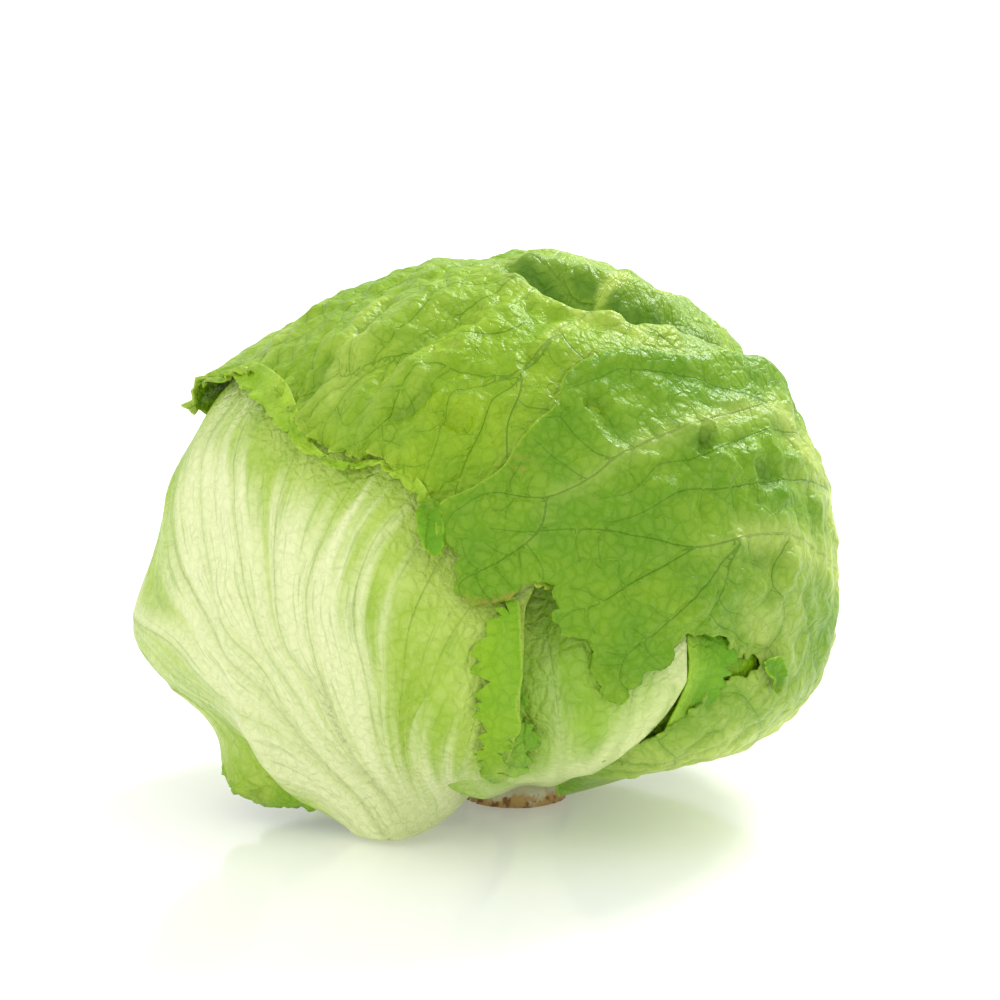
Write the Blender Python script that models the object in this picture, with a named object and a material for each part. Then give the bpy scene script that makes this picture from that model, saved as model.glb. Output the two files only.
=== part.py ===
"""Iceberg lettuce: a closed head of wrapped leaves that stands on its cut stem.

Every leaf follows one outer form, given as a distance from the middle of the
head along a direction.  A direction is an azimuth and an elevation: azimuth 0
faces -Y and grows towards +X, elevation 90 is straight up.  Leaves are listed
from the outside in, and each one lies below all the leaves listed before it.
Lengths are metres, the floor is Z = 0 and the middle of the cut is the origin.
"""
import math
from dataclasses import dataclass

import bmesh
import bpy
import numpy as np
from mathutils import Vector
from mathutils.geometry import delaunay_2d_cdt

# Head form
CENTRE_HEIGHT = 0.058
HALF_WIDTH = 0.0825
HALF_DEPTH = 0.078
RISE = 0.084
DROP = 0.053
TOP_SQUARENESS = 2.15
BOTTOM_SQUARENESS = 2.8
FLOOR_CLEARANCE = 0.0006

# Broad swellings: azimuth, elevation, spread across, spread up (degrees), height
SWELLS = (
    (-95, 24, 24, 22, 0.0090),
    (-92, 8, 28, 10, 0.0026),
    (-88, -9, 20, 12, 0.0150),
    (-38, -49, 15, 12, 0.0140),
    (-76, -36, 14, 9, 0.0160),
    (44, -43, 34, 14, -0.0075),
    (84, 14, 30, 34, 0.0012),
    (50, 70, 26, 14, -0.0025),
)

# Folds that all layers follow: height, width in degrees, then azimuth and elevation points
FOLDS = (
    (-0.0055, 7, ((25, 74), (42, 66), (62, 62), (82, 56), (94, 44), (100, 30))),
    (0.0020, 6, ((22, 58), (42, 55), (60, 52), (74, 46), (84, 36))),
    (0.0025, 6, ((-40, -46), (-48, -34), (-56, -22), (-62, -8))),
    (-0.0030, 6, ((-28, 62), (-42, 50))),
)
FOLD_STEPS = 12

# Layering
LAYER_PITCH = 0.0030
LEAF_THICKNESS = 0.0010
LEAF_ROUGHNESS = 0.42
FADE_ANGLE = 13.0

# Stem
STEM_RADIUS = 0.0145
STEM_TOP = 0.044
STEM_SIDES = 28
STEM_EDGE = 0.0008
STEM_EDGE_STEPS = 2
STEM_ROUGHNESS = 0.55
STEM_COLOUR = (0.78, 0.72, 0.56)
SOCKET_GAP_ANGLE = 1.1
SOCKET_TOP_GAP = 0.003

# Heart
HEART_SIDES = 40
HEART_RINGS = 18
HEART_LOWEST = -72.0
HEART_GAP = 0.0018
HEART_ROUGHNESS = 0.45
HEART_COLOUR = (0.50, 0.66, 0.22)

# Leaf meshes: distance between points, in degrees inside the blade and along the margin
LARGE_SPACING = 8.0
SMALL_SPACING = 6.5
MARGIN_SPACING = 3.4
MARGIN_CLEARANCE = 0.6
OUTLINE_STEPS = 12
LIFT_BAND = 8.0
NECK_ELEVATION = -50.0
TOOTH_BLEND = 12.0
LIFT_BLEND = 20.0

# How the outline is filled: triangles inside it only, and points closer than this merged
FILL_INSIDE = 1
SAME_POINT = 1e-5


@dataclass(frozen=True)
class Leaf:
    """One leaf: the middle of its blade, its margin, its edge and its colour."""

    name: str
    middle: tuple
    margin: tuple
    spacing: float
    tooth: float
    lift: float
    ruffle: float
    waves: int
    colour: tuple


LEAVES = (
    Leaf(
        "leaf_front_right", (75, 12),
        ((57, -4), (50, -3), (44, -1), (39, 0), (34, -1), (31, -1), (27, -5), (22, -8), (18, -5),
         (13, 3), (8, 6), (4, 12), (-1, 10), (-7, 9), (-14, 11), (-12, 17), (-17, 24), (-9, 31),
         (-3, 38), (0, 45), (8, 51), (18, 56), (28, 57), (42, 53), (59, 51), (72, 47), (84, 42),
         (98, 34), (112, 22), (122, 5), (126, -25), (124, -50), (118, -73), (92, -74.5),
         (66, -73), (68, -50), (70, -28), (66, -14)),
        LARGE_SPACING, 0.0024, 0.0010, 0.0008, 17, (0.24, 0.42, 0.06),
    ),
    Leaf(
        "leaf_crown", (140, 38),
        ((-93, 26), (-83, 33), (-72, 38), (-60, 38), (-51, 36), (-41, 34), (-29, 31), (-22, 28),
         (-16, 26), (-10, 18), (10, 10), (40, 6), (75, 2), (105, -10), (114, -35), (116, -60),
         (118, -73.5), (145, -74.5), (172, -73.5), (178, -55), (-174, -25), (-164, 0),
         (-150, 14), (-132, 20), (-112, 22)),
        LARGE_SPACING, 0.0022, 0.0028, 0.0020, 23, (0.22, 0.39, 0.05),
    ),
    Leaf(
        "leaf_left", (-50, 0),
        ((2, 12), (-2, 6), (-5, 1), (-4, -6), (-3, -14), (-2, -24), (-3, -36), (2, -60), (8, -73),
         (-20, -74.5), (-50, -73.5), (-54, -60), (-54, -46), (-63, -43), (-71, -38), (-77, -30),
         (-90, -22), (-106, -12), (-116, 4), (-116, 22), (-104, 36), (-75, 48), (-40, 50),
         (-12, 40), (-2, 24)),
        LARGE_SPACING, 0.0026, 0.0012, 0.0006, 15, (0.52, 0.66, 0.24),
    ),
    Leaf(
        "leaf_back_left", (-140, -14),
        ((-98, 20), (-94, 0), (-92, -25), (-94, -48), (-100, -73), (-140, -74.5), (176, -73.5),
         (170, -55), (168, -25), (170, 5), (-175, 30), (-150, 42), (-120, 38)),
        SMALL_SPACING, 0.0022, 0.0010, 0.0010, 13, (0.38, 0.55, 0.12),
    ),
    Leaf(
        "leaf_back_right", (128, -12),
        ((100, 20), (94, 0), (94, -28), (98, -50), (102, -73), (125, -74.5), (146, -73.5),
         (154, -55), (160, -30), (162, 0), (154, 25), (132, 36), (112, 32)),
        SMALL_SPACING, 0.0022, 0.0010, 0.0010, 13, (0.34, 0.52, 0.10),
    ),
    Leaf(
        "leaf_inner_left", (-14, -15),
        ((1, 10), (3, 2), (2, -6), (4, -13), (4, -22), (4, -34), (8, -55), (14, -73), (-10, -74.5),
         (-28, -73.5), (-27, -55), (-28, -38), (-34, -20), (-40, 0), (-32, 18), (-12, 20)),
        SMALL_SPACING, 0.0024, 0.0006, 0.0006, 15, (0.22, 0.44, 0.04),
    ),
    Leaf(
        "leaf_front_low", (8, -22),
        ((34, 0), (34, -9), (30, -18), (24, -26), (24, -40), (34, -60), (44, -73), (20, -74.5),
         (-8, -73.5), (-16, -55), (-24, -35), (-26, -15), (-20, 2), (-4, 14), (12, 16), (26, 10)),
        SMALL_SPACING, 0.0006, 0.0016, 0.0000, 9, (0.60, 0.72, 0.36),
    ),
    Leaf(
        "leaf_right_low", (60, -25),
        ((24, -26), (28, -21), (32, -17), (36, -13), (40, -11), (45, -10), (50, -9), (54, -6),
         (56, 4), (66, 12), (84, 10), (98, -2), (102, -22), (96, -45), (86, -73), (65, -74.5),
         (36, -73.5), (26, -58), (20, -42), (20, -32)),
        SMALL_SPACING, 0.0026, 0.0012, 0.0008, 13, (0.48, 0.64, 0.18),
    ),
    Leaf(
        "leaf_left_low", (-78, -25),
        ((-54, -5), (-50, -28), (-46, -50), (-44, -73), (-78, -74.5), (-106, -73.5), (-106, -50),
         (-110, -25), (-106, 0), (-88, 14), (-62, 12)),
        SMALL_SPACING, 0.0020, 0.0006, 0.0006, 13, (0.42, 0.60, 0.16),
    ),
)


def direction(azimuth, elevation):
    """Unit vectors of azimuths and elevations in degrees."""
    a = np.radians(azimuth)
    e = np.radians(elevation)
    return np.stack([np.sin(a) * np.cos(e), -np.cos(a) * np.cos(e), np.sin(e)], axis=-1)


def tangents(azimuth, elevation):
    """Unit vectors to the right and upwards on the form at one direction."""
    a = math.radians(azimuth)
    right = np.array([math.cos(a), math.sin(a), 0.0])
    return right, np.cross(direction(azimuth, elevation), right)


def smooth_step(x):
    """Rise from 0 to 1 over 0..1 with level ends."""
    t = np.clip(x, 0.0, 1.0)
    return t * t * (3.0 - 2.0 * t)


def closed_curve(points, steps):
    """Points of a closed smooth curve through the given points."""
    p = np.asarray(points, dtype=float)
    before = np.roll(p, 1, axis=0)
    after = np.roll(p, -1, axis=0)
    beyond = np.roll(p, -2, axis=0)
    t = np.linspace(0.0, 1.0, steps, endpoint=False)[None, :, None]
    a, b, c, d = before[:, None], p[:, None], after[:, None], beyond[:, None]
    curve = 0.5 * (2 * b + (c - a) * t + (2 * a - 5 * b + 4 * c - d) * t**2
                   + (3 * b - a - 3 * c + d) * t**3)
    return curve.reshape(-1, p.shape[1])


def open_line(points, steps):
    """Unit vectors along the straight runs between azimuth and elevation points."""
    p = direction(*np.array(points, dtype=float).T)
    t = np.linspace(0.0, 1.0, steps)[None, :, None]
    run = p[:-1, None] * (1 - t) + p[1:, None] * t
    run = run.reshape(-1, 3)
    return run / np.linalg.norm(run, axis=1, keepdims=True)


def swell_height(dirs):
    """Height that the broad swellings add along the directions."""
    height = np.zeros(len(dirs))
    for azimuth, elevation, across, up, rise in SWELLS:
        middle = direction(azimuth, elevation)
        right, above = tangents(azimuth, elevation)
        x = np.degrees(np.arcsin(np.clip(dirs @ right, -1, 1))) / across
        y = np.degrees(np.arcsin(np.clip(dirs @ above, -1, 1))) / up
        height += rise * np.exp(-x**2 - y**2) * (dirs @ middle > 0)
    return height


def fold_height(dirs):
    """Height that the long folds add along the directions."""
    height = np.zeros(len(dirs))
    for rise, width, points in FOLDS:
        nearest = (dirs @ open_line(points, FOLD_STEPS).T).max(axis=1)
        angle = np.degrees(np.arccos(np.clip(nearest, -1, 1)))
        height += rise * np.exp(-(angle / width) ** 2)
    return height


def form_reach(dirs):
    """Distance from the middle of the head to its outer form along unit vectors."""
    level = np.hypot(dirs[:, 0] / HALF_WIDTH, dirs[:, 1] / HALF_DEPTH)
    rises = dirs[:, 2] >= 0
    power = np.where(rises, TOP_SQUARENESS, BOTTOM_SQUARENESS)
    upright = np.abs(dirs[:, 2]) / np.where(rises, RISE, DROP)
    reach = (level**power + upright**power) ** (-1.0 / power)
    reach = reach + swell_height(dirs) + fold_height(dirs)
    to_floor = (CENTRE_HEIGHT - FLOOR_CLEARANCE) / np.maximum(-dirs[:, 2], 1e-6)
    return np.minimum(reach, to_floor)


class Chart:
    """Flat map of the directions round a leaf's middle, in degrees."""

    def __init__(self, leaf):
        self.middle = direction(*leaf.middle)
        self.right, self.up = tangents(*leaf.middle)
        corners = self.to_map(direction(*np.array(leaf.margin, dtype=float).T))
        self.curve = closed_curve(corners, OUTLINE_STEPS)
        self.rim = self.from_map(self.curve)

    def to_map(self, dirs):
        """Map points of unit vectors."""
        angle = np.degrees(np.arccos(np.clip(dirs @ self.middle, -1, 1)))
        x = dirs @ self.right
        y = dirs @ self.up
        scale = angle / np.maximum(np.hypot(x, y), 1e-9)
        return np.stack([x * scale, y * scale], axis=-1)

    def from_map(self, points):
        """Unit vectors of map points."""
        angle = np.hypot(points[:, 0], points[:, 1])
        part = points / np.maximum(angle, 1e-9)[:, None]
        lean = np.radians(angle)[:, None]
        side = part[:, :1] * self.right + part[:, 1:] * self.up
        return np.cos(lean) * self.middle + np.sin(lean) * side

    def inside(self, points):
        """Whether map points lie inside the margin."""
        within = np.zeros(len(points), dtype=bool)
        for start, end in zip(self.curve, np.roll(self.curve, -1, axis=0)):
            spans = (start[1] > points[:, 1]) != (end[1] > points[:, 1])
            rise = end[1] - start[1] if end[1] != start[1] else 1.0
            crossing = start[0] + (points[:, 1] - start[1]) * (end[0] - start[0]) / rise
            within ^= spans & (points[:, 0] < crossing)
        return within

    def away(self, dirs):
        """Angle from unit vectors to the margin, in degrees."""
        return np.degrees(np.arccos(np.clip((dirs @ self.rim.T).max(axis=1), -1, 1)))

    def cover(self, dirs):
        """1 under the leaf, falling to 0 a short way outside its margin."""
        outside = 1.0 - smooth_step(self.away(dirs) / FADE_ANGLE)
        return np.where(self.inside(self.to_map(dirs)), 1.0, outside)

    def margin_points(self, spacing):
        """An even number of map points that divide the margin into equal lengths."""
        closed = np.concatenate([self.rim, self.rim[:1]])
        runs = np.degrees(np.linalg.norm(np.diff(closed, axis=0), axis=1))
        length = np.concatenate([[0.0], np.cumsum(runs)])
        count = 2 * round(length[-1] / spacing / 2)
        marks = np.linspace(0.0, length[-1], count, endpoint=False)
        path = np.concatenate([self.curve, self.curve[:1]])
        return np.stack([np.interp(marks, length, path[:, i]) for i in (0, 1)], axis=-1)


def layer_depth(charts, dirs):
    """Depth below the outer form that the covering leaves leave to the next one."""
    depth = np.zeros(len(dirs))
    for chart in charts:
        depth += LAYER_PITCH * chart.cover(dirs)
    return depth


def exposure(charts, dirs):
    """1 where no covering leaf is near, 0 below one."""
    free = np.ones(len(dirs))
    for chart in charts:
        free *= 1.0 - chart.cover(dirs)
    return free


def cut_teeth(leaf, chart, points):
    """Pull every other point of the margin into the blade, except round the base."""
    along = np.roll(points, -1, axis=0) - np.roll(points, 1, axis=0)
    inward = np.stack([along[:, 1], -along[:, 0]], axis=-1)
    inward /= np.linalg.norm(inward, axis=1, keepdims=True)
    if signed_area(points) > 0:
        inward = -inward
    dirs = chart.from_map(points)
    notch = np.degrees(leaf.tooth / HALF_DEPTH) * above_neck(dirs, TOOTH_BLEND)
    notch[::2] = 0.0
    return points + inward * notch[:, None]


def signed_area(points):
    """Area inside a closed run of map points, positive when it turns to the left."""
    following = np.roll(points, -1, axis=0)
    return 0.5 * np.sum(points[:, 0] * following[:, 1] - following[:, 0] * points[:, 1])


def above_neck(dirs, blend):
    """0 round the leaf's base and 1 over the rest of its blade."""
    elevation = np.degrees(np.arcsin(np.clip(dirs[:, 2], -1, 1)))
    return smooth_step((elevation - NECK_ELEVATION) / blend)


def inner_points(leaf, chart):
    """Evenly spread map points inside the margin, in rows of triangles."""
    low = chart.curve.min(axis=0)
    high = chart.curve.max(axis=0)
    row_gap = leaf.spacing * math.sqrt(3) / 2
    rows = []
    for row, y in enumerate(np.arange(low[1], high[1], row_gap)):
        x = np.arange(low[0] + (row % 2) * leaf.spacing / 2, high[0], leaf.spacing)
        rows.append(np.stack([x, np.full(len(x), y)], axis=-1))
    points = np.concatenate(rows)
    clear = chart.away(chart.from_map(points)) > MARGIN_CLEARANCE * MARGIN_SPACING
    return points[chart.inside(points) & clear]


def leaf_mesh(leaf, chart):
    """Map points and triangles of the blade inside its toothed margin."""
    margin = cut_teeth(leaf, chart, chart.margin_points(MARGIN_SPACING))
    if signed_area(margin) < 0:
        margin = margin[::-1]
    points = np.concatenate([margin, inner_points(leaf, chart)])
    loop = list(range(len(margin)))
    flat = [Vector(p) for p in points]
    result = delaunay_2d_cdt(flat, [], [loop], FILL_INSIDE, SAME_POINT)
    return np.array([tuple(v) for v in result[0]]), [tuple(f) for f in result[2]]


def margin_lift(leaf, chart, above, dirs):
    """Height by which the free margin stands off the form, in waves along its length."""
    points = chart.to_map(dirs)
    turn = np.arctan2(points[:, 1], points[:, 0])
    lift = leaf.lift + leaf.ruffle * np.sin(leaf.waves * turn)
    lift *= 1.0 - smooth_step(chart.away(dirs) / LIFT_BAND)
    return lift * exposure(above, dirs) * above_neck(dirs, LIFT_BLEND)


def plain_material(name, colour, roughness):
    """A Principled material of one colour."""
    material = bpy.data.materials.new(name)
    material.use_nodes = True
    shader = material.node_tree.nodes["Principled BSDF"]
    shader.inputs["Base Color"].default_value = (*colour, 1.0)
    shader.inputs["Roughness"].default_value = roughness
    shader.inputs["Metallic"].default_value = 0.0
    return material


def mesh_object(name, points, faces, colour, roughness):
    """An object of triangles, with its normals facing out, its material and smooth shading."""
    mesh = bpy.data.meshes.new(name)
    mesh.from_pydata([tuple(p) for p in points], [], faces)
    mesh.materials.append(plain_material(name + "_finish", colour, roughness))
    mesh.shade_smooth()
    item = bpy.data.objects.new(name, mesh)
    bpy.context.scene.collection.objects.link(item)
    return item


def raised(points):
    """Points measured from the middle of the head, as places above the floor."""
    return points + np.array([0.0, 0.0, CENTRE_HEIGHT])


def build_leaf(leaf, chart, above):
    """A leaf blade of even thickness that follows the form below the covering leaves."""
    points, faces = leaf_mesh(leaf, chart)
    dirs = chart.from_map(points)
    reach = form_reach(dirs) - layer_depth(above, dirs) + margin_lift(leaf, chart, above, dirs)
    item = mesh_object(leaf.name, raised(dirs * reach[:, None]), faces, leaf.colour,
                       LEAF_ROUGHNESS)
    blade = item.modifiers.new("blade", "SOLIDIFY")
    blade.thickness = LEAF_THICKNESS
    blade.offset = -1.0
    return item


def stem_angle():
    """Angle between the stem's flank and straight down, seen from the middle of the head."""
    return math.degrees(math.atan2(STEM_RADIUS, CENTRE_HEIGHT))


def build_heart(charts):
    """The closed inner head, with a conical socket for the stem."""
    elevations = np.linspace(HEART_LOWEST, 90.0, HEART_RINGS, endpoint=False)
    azimuths = np.linspace(0.0, 360.0, HEART_SIDES, endpoint=False)
    rings = []
    for elevation in elevations[::-1]:
        dirs = direction(azimuths, np.full(HEART_SIDES, elevation))
        reach = form_reach(dirs) - layer_depth(charts, dirs) - HEART_GAP
        rings.append(raised(dirs * reach[:, None]))
    top = direction(np.zeros(1), np.full(1, 90.0))
    top_place = raised(top * (form_reach(top) - layer_depth(charts, top) - HEART_GAP)[:, None])
    flank = direction(azimuths, np.full(HEART_SIDES, stem_angle() + SOCKET_GAP_ANGLE - 90.0))
    mouth = form_reach(flank) - layer_depth(charts, flank) - HEART_GAP
    rings.append(raised(flank * mouth[:, None]))
    roof_height = STEM_TOP + SOCKET_TOP_GAP
    rings.append(raised(flank * ((CENTRE_HEIGHT - roof_height) / -flank[:, 2])[:, None]))
    roof = np.array([[0.0, 0.0, roof_height]])
    points = np.concatenate([top_place, *rings, roof])
    return mesh_object("heart", points, heart_faces(len(rings)), HEART_COLOUR, HEART_ROUGHNESS)


def heart_faces(ring_count):
    """Triangles from the top point, down the rings, into the socket and over its roof."""
    faces = []
    roof = 1 + ring_count * HEART_SIDES
    for k in range(HEART_SIDES):
        n = (k + 1) % HEART_SIDES
        faces.append((0, 1 + k, 1 + n))
        faces.append((roof - HEART_SIDES + k, roof, roof - HEART_SIDES + n))
        for ring in range(ring_count - 1):
            upper = 1 + ring * HEART_SIDES
            lower = upper + HEART_SIDES
            faces.append((upper + k, lower + k, lower + n))
            faces.append((upper + k, lower + n, upper + n))
    return faces


def build_stem():
    """The stem: a cone cut flat at the floor, its edge a little rounded."""
    narrowing = STEM_TOP / CENTRE_HEIGHT
    mesh = bpy.data.meshes.new("stem")
    shape = bmesh.new()
    bmesh.ops.create_cone(
        shape, cap_ends=True, cap_tris=False, segments=STEM_SIDES,
        radius1=STEM_RADIUS, radius2=STEM_RADIUS * (1.0 - narrowing), depth=STEM_TOP,
    )
    bmesh.ops.translate(shape, verts=shape.verts, vec=(0.0, 0.0, STEM_TOP / 2))
    shape.to_mesh(mesh)
    shape.free()
    mesh.materials.append(plain_material("stem_finish", STEM_COLOUR, STEM_ROUGHNESS))
    mesh.shade_smooth()
    item = bpy.data.objects.new("stem", mesh)
    bpy.context.scene.collection.objects.link(item)
    edge = item.modifiers.new("edge", "BEVEL")
    edge.width = STEM_EDGE
    edge.segments = STEM_EDGE_STEPS
    edge.limit_method = "ANGLE"
    return item


def main():
    """Build the stem, the leaves from the outside in, and the heart."""
    for item in list(bpy.data.objects):
        bpy.data.objects.remove(item, do_unlink=True)
    build_stem()
    charts = []
    for leaf in LEAVES:
        chart = Chart(leaf)
        build_leaf(leaf, chart, charts)
        charts.append(chart)
    build_heart(charts)


main()
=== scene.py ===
"""Iceberg lettuce head, standing on its cut stem on a pale table.

Each leaf follows one outer form, given as a distance from the middle of the head along a
direction.  A direction is an azimuth and an elevation in degrees: azimuth 0 faces -Y and
grows towards +X, elevation 90 is straight up.  Leaves are listed from the outside in.
Distances on a leaf's flat map and the fine relief are in millimetres.
"""
import logging
import math
from dataclasses import dataclass
from enum import Enum
from typing import ClassVar

import bpy
import numpy as np
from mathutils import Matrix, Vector
from mathutils.geometry import delaunay_2d_cdt
from mathutils.kdtree import KDTree


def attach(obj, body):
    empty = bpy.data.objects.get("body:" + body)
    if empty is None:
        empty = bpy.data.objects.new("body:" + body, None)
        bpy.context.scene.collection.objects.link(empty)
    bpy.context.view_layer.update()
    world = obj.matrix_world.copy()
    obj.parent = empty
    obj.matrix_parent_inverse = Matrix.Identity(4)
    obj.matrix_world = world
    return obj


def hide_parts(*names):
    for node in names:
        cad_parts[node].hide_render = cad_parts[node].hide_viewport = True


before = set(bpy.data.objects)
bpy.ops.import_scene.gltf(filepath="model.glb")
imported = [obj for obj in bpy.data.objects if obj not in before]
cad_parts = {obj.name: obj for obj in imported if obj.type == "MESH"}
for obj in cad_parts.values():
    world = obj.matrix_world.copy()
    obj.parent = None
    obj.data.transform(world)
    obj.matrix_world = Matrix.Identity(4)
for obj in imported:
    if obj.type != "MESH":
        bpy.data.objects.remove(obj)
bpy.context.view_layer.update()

MM = 0.001
BODY = "root"
DEGREE_MM = 1.36
RADIUS_MM = 80.0
COURSE_STEPS = 12
FILL_INSIDE = 1
SAME_POINT = 1e-5
TINY = 1e-9
LOG = logging.getLogger("lettuce")

Pair = tuple[float, float]
Line = tuple[Pair, ...]
Colour = tuple[float, float, float]
Place = tuple[float, float, float]
Socket = bpy.types.NodeSocket


class Habit(Enum):
    """How a leaf's free margin is cut."""

    TOOTHED = "toothed"
    LOBED = "lobed"
    SMOOTH = "smooth"


def direction(azimuth: np.ndarray | float, elevation: np.ndarray | float) -> np.ndarray:
    """Unit vectors of directions.

    Args:
        azimuth: Degrees round the head from -Y towards +X.
        elevation: Degrees above the level.

    Returns:
        Unit vectors along the last axis.
    """
    a, e = np.radians(azimuth), np.radians(elevation)
    return np.stack([np.sin(a) * np.cos(e), -np.cos(a) * np.cos(e), np.sin(e)], axis=-1)


def directions(points: Line) -> np.ndarray:
    """Unit vectors of (azimuth, elevation) pairs."""
    azimuth, elevation = np.array(points, dtype=float).T
    return direction(azimuth, elevation)


def tangents(azimuth: float, elevation: float) -> tuple[np.ndarray, np.ndarray]:
    """Unit vectors along the form at one direction.

    Args:
        azimuth: Degrees round the head.
        elevation: Degrees above the level.

    Returns:
        The unit vectors to the right and upwards.
    """
    a = math.radians(azimuth)
    right = np.array([math.cos(a), math.sin(a), 0.0])
    return right, np.cross(direction(azimuth, elevation), right)


def smooth_step(x: np.ndarray) -> np.ndarray:
    """Rise from 0 to 1 over 0..1 with level ends."""
    t = np.clip(x, 0.0, 1.0)
    return t * t * (3.0 - 2.0 * t)


def unit(vectors: np.ndarray) -> np.ndarray:
    """Vectors brought to length 1."""
    return vectors / np.maximum(np.linalg.norm(vectors, axis=-1, keepdims=True), TINY)


def solid(points: np.ndarray) -> np.ndarray:
    """Flat points with a third coordinate of zero, solid ones as they are."""
    return np.concatenate([points, np.zeros((len(points), 3 - points.shape[1]))], axis=1)


def bearing(offset: np.ndarray) -> np.ndarray:
    """Degrees from straight up towards the right of flat offsets."""
    return np.degrees(np.arctan2(offset[:, 0], offset[:, 1]))


def nearest(points: np.ndarray, others: np.ndarray) -> tuple[np.ndarray, np.ndarray]:
    """Find the nearest of some points to each of others.

    Args:
        points: Where to measure from.
        others: The points to look among.

    Returns:
        The index of the nearest one and the distance to it.
    """
    tree = KDTree(len(others))
    for index, place in enumerate(solid(others)):
        tree.insert(place, index)
    tree.balance()
    found = [tree.find(place) for place in solid(points)]
    return np.array([f[1] for f in found]), np.array([f[2] for f in found])


def nearest_angle(dirs: np.ndarray, line: np.ndarray) -> np.ndarray:
    """Degrees from each unit vector to the nearest one of a line."""
    chord = nearest(dirs, line)[1]
    return np.degrees(2.0 * np.arcsin(np.clip(chord / 2.0, 0.0, 1.0)))


def course(points: Line) -> np.ndarray:
    """Follow straight stretches between directions.

    Args:
        points: Azimuth and elevation at the ends of the stretches.

    Returns:
        Closely spaced unit vectors.
    """
    ends = directions(points)
    t = np.linspace(0.0, 1.0, COURSE_STEPS)[None, :, None]
    return unit((ends[:-1, None] * (1 - t) + ends[1:, None] * t).reshape(-1, 3))


def smooth_curve(points: np.ndarray, steps: int, closed: bool) -> np.ndarray:
    """Points of a smooth curve through the given points.

    Args:
        points: Corner points, one a row.
        steps: Points on each stretch between two corners.
        closed: Whether the curve joins up with its start.

    Returns:
        The points of the curve.
    """
    if closed:
        run = np.concatenate([points[-1:], points, points[:2]])
    else:
        run = np.concatenate([2 * points[:1] - points[1:2], points, 2 * points[-1:] - points[-2:-1]])
    a, b, c, d = run[:-3, None], run[1:-2, None], run[2:-1, None], run[3:, None]
    t = np.linspace(0.0, 1.0, steps, endpoint=False)[None, :, None]
    curve = 0.5 * (2 * b + (c - a) * t + (2 * a - 5 * b + 4 * c - d) * t**2
                   + (3 * b - a - 3 * c + d) * t**3)
    curve = curve.reshape(-1, points.shape[1])
    return curve if closed else np.concatenate([curve, points[-1:]])


def run_lengths(points: np.ndarray) -> np.ndarray:
    """How far along an open run of points each of them lies."""
    return np.concatenate([[0.0], np.cumsum(np.linalg.norm(np.diff(points, axis=0), axis=1))])


def spaced(points: np.ndarray, spacing: float) -> np.ndarray:
    """Divide an open run of points into equal steps.

    Args:
        points: The run, one point a row.
        spacing: Wanted length of a step.

    Returns:
        The points at the ends of the steps.
    """
    marks = run_lengths(points)
    count = max(2, round(marks[-1] / spacing) + 1)
    at = np.linspace(0.0, marks[-1], count)
    return np.stack([np.interp(at, marks, column) for column in points.T], axis=-1)


def ridge(away: np.ndarray, girth: np.ndarray, narrow: float, widening: float) -> np.ndarray:
    """1 along a rib, falling off over a width that grows with the rib's girth."""
    return np.exp(-(away / (narrow + widening * girth)) ** 2)


class Noise:
    """Smooth gradient noise in space, the same on each run."""

    size = 256
    gain = 1.6

    def __init__(self, seed: int) -> None:
        """Draw the gradients.

        Args:
            seed: Any whole number.
        """
        draw = np.random.default_rng(seed)
        self.gradients = unit(draw.normal(size=(self.size, 3)))
        self.order = draw.permutation(self.size)

    def at(self, points: np.ndarray, cell: float) -> np.ndarray:
        """Noise values of about -1 to 1.

        Args:
            points: Places, one a row.
            cell: Size of one bump, in the same unit.

        Returns:
            One value a place.
        """
        place = points / cell
        base = np.floor(place).astype(int)
        part = place - base
        fade = part**3 * (part * (part * 6 - 15) + 10)
        total = np.zeros(len(place))
        last = self.size - 1
        for corner in np.ndindex(2, 2, 2):
            x, y, z = ((base + corner) & last).T
            hashed = self.order[(self.order[(self.order[x] + y) & last] + z) & last]
            value = np.sum(self.gradients[hashed] * (part - corner), axis=1)
            total += np.prod(np.where(corner, fade, 1.0 - fade), axis=1) * value
        return self.gain * total

    def along(self, marks: np.ndarray, cell: float) -> np.ndarray:
        """Noise values along a line, at distances from its start."""
        return self.at(solid(marks[:, None]), cell)


ROUGH = Noise(5)


@dataclass(frozen=True)
class Wave:
    """One noise of a blend: size of its bumps, its share and how far it is shifted."""

    cell: float
    share: float = 1.0
    shift: float = 0.0

    def at(self, noise: Noise, points: np.ndarray) -> np.ndarray:
        """Values at places, before the share is taken."""
        return noise.at(points + self.shift, self.cell)


Waves = tuple[Wave, ...]


@dataclass(frozen=True)
class Swell:
    """A broad round swelling or hollow, its spreads in degrees and its height in metres."""

    azimuth: float
    elevation: float
    across: float
    up: float
    height: float

    def at(self, dirs: np.ndarray) -> np.ndarray:
        """Work out what it adds.

        Args:
            dirs: Unit vectors.

        Returns:
            One height a vector, in metres.
        """
        right, above = tangents(self.azimuth, self.elevation)
        x = np.degrees(np.arcsin(np.clip(dirs @ right, -1, 1))) / self.across
        y = np.degrees(np.arcsin(np.clip(dirs @ above, -1, 1))) / self.up
        front = dirs @ direction(self.azimuth, self.elevation) > 0
        return self.height * np.exp(-x**2 - y**2) * front


@dataclass(frozen=True)
class Fold:
    """A long ridge or groove: height in metres, width in degrees and its course."""

    height: float
    width: float
    points: Line

    def at(self, dirs: np.ndarray) -> np.ndarray:
        """Height along unit vectors."""
        return self.height * np.exp(-(nearest_angle(dirs, course(self.points)) / self.width) ** 2)


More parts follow.
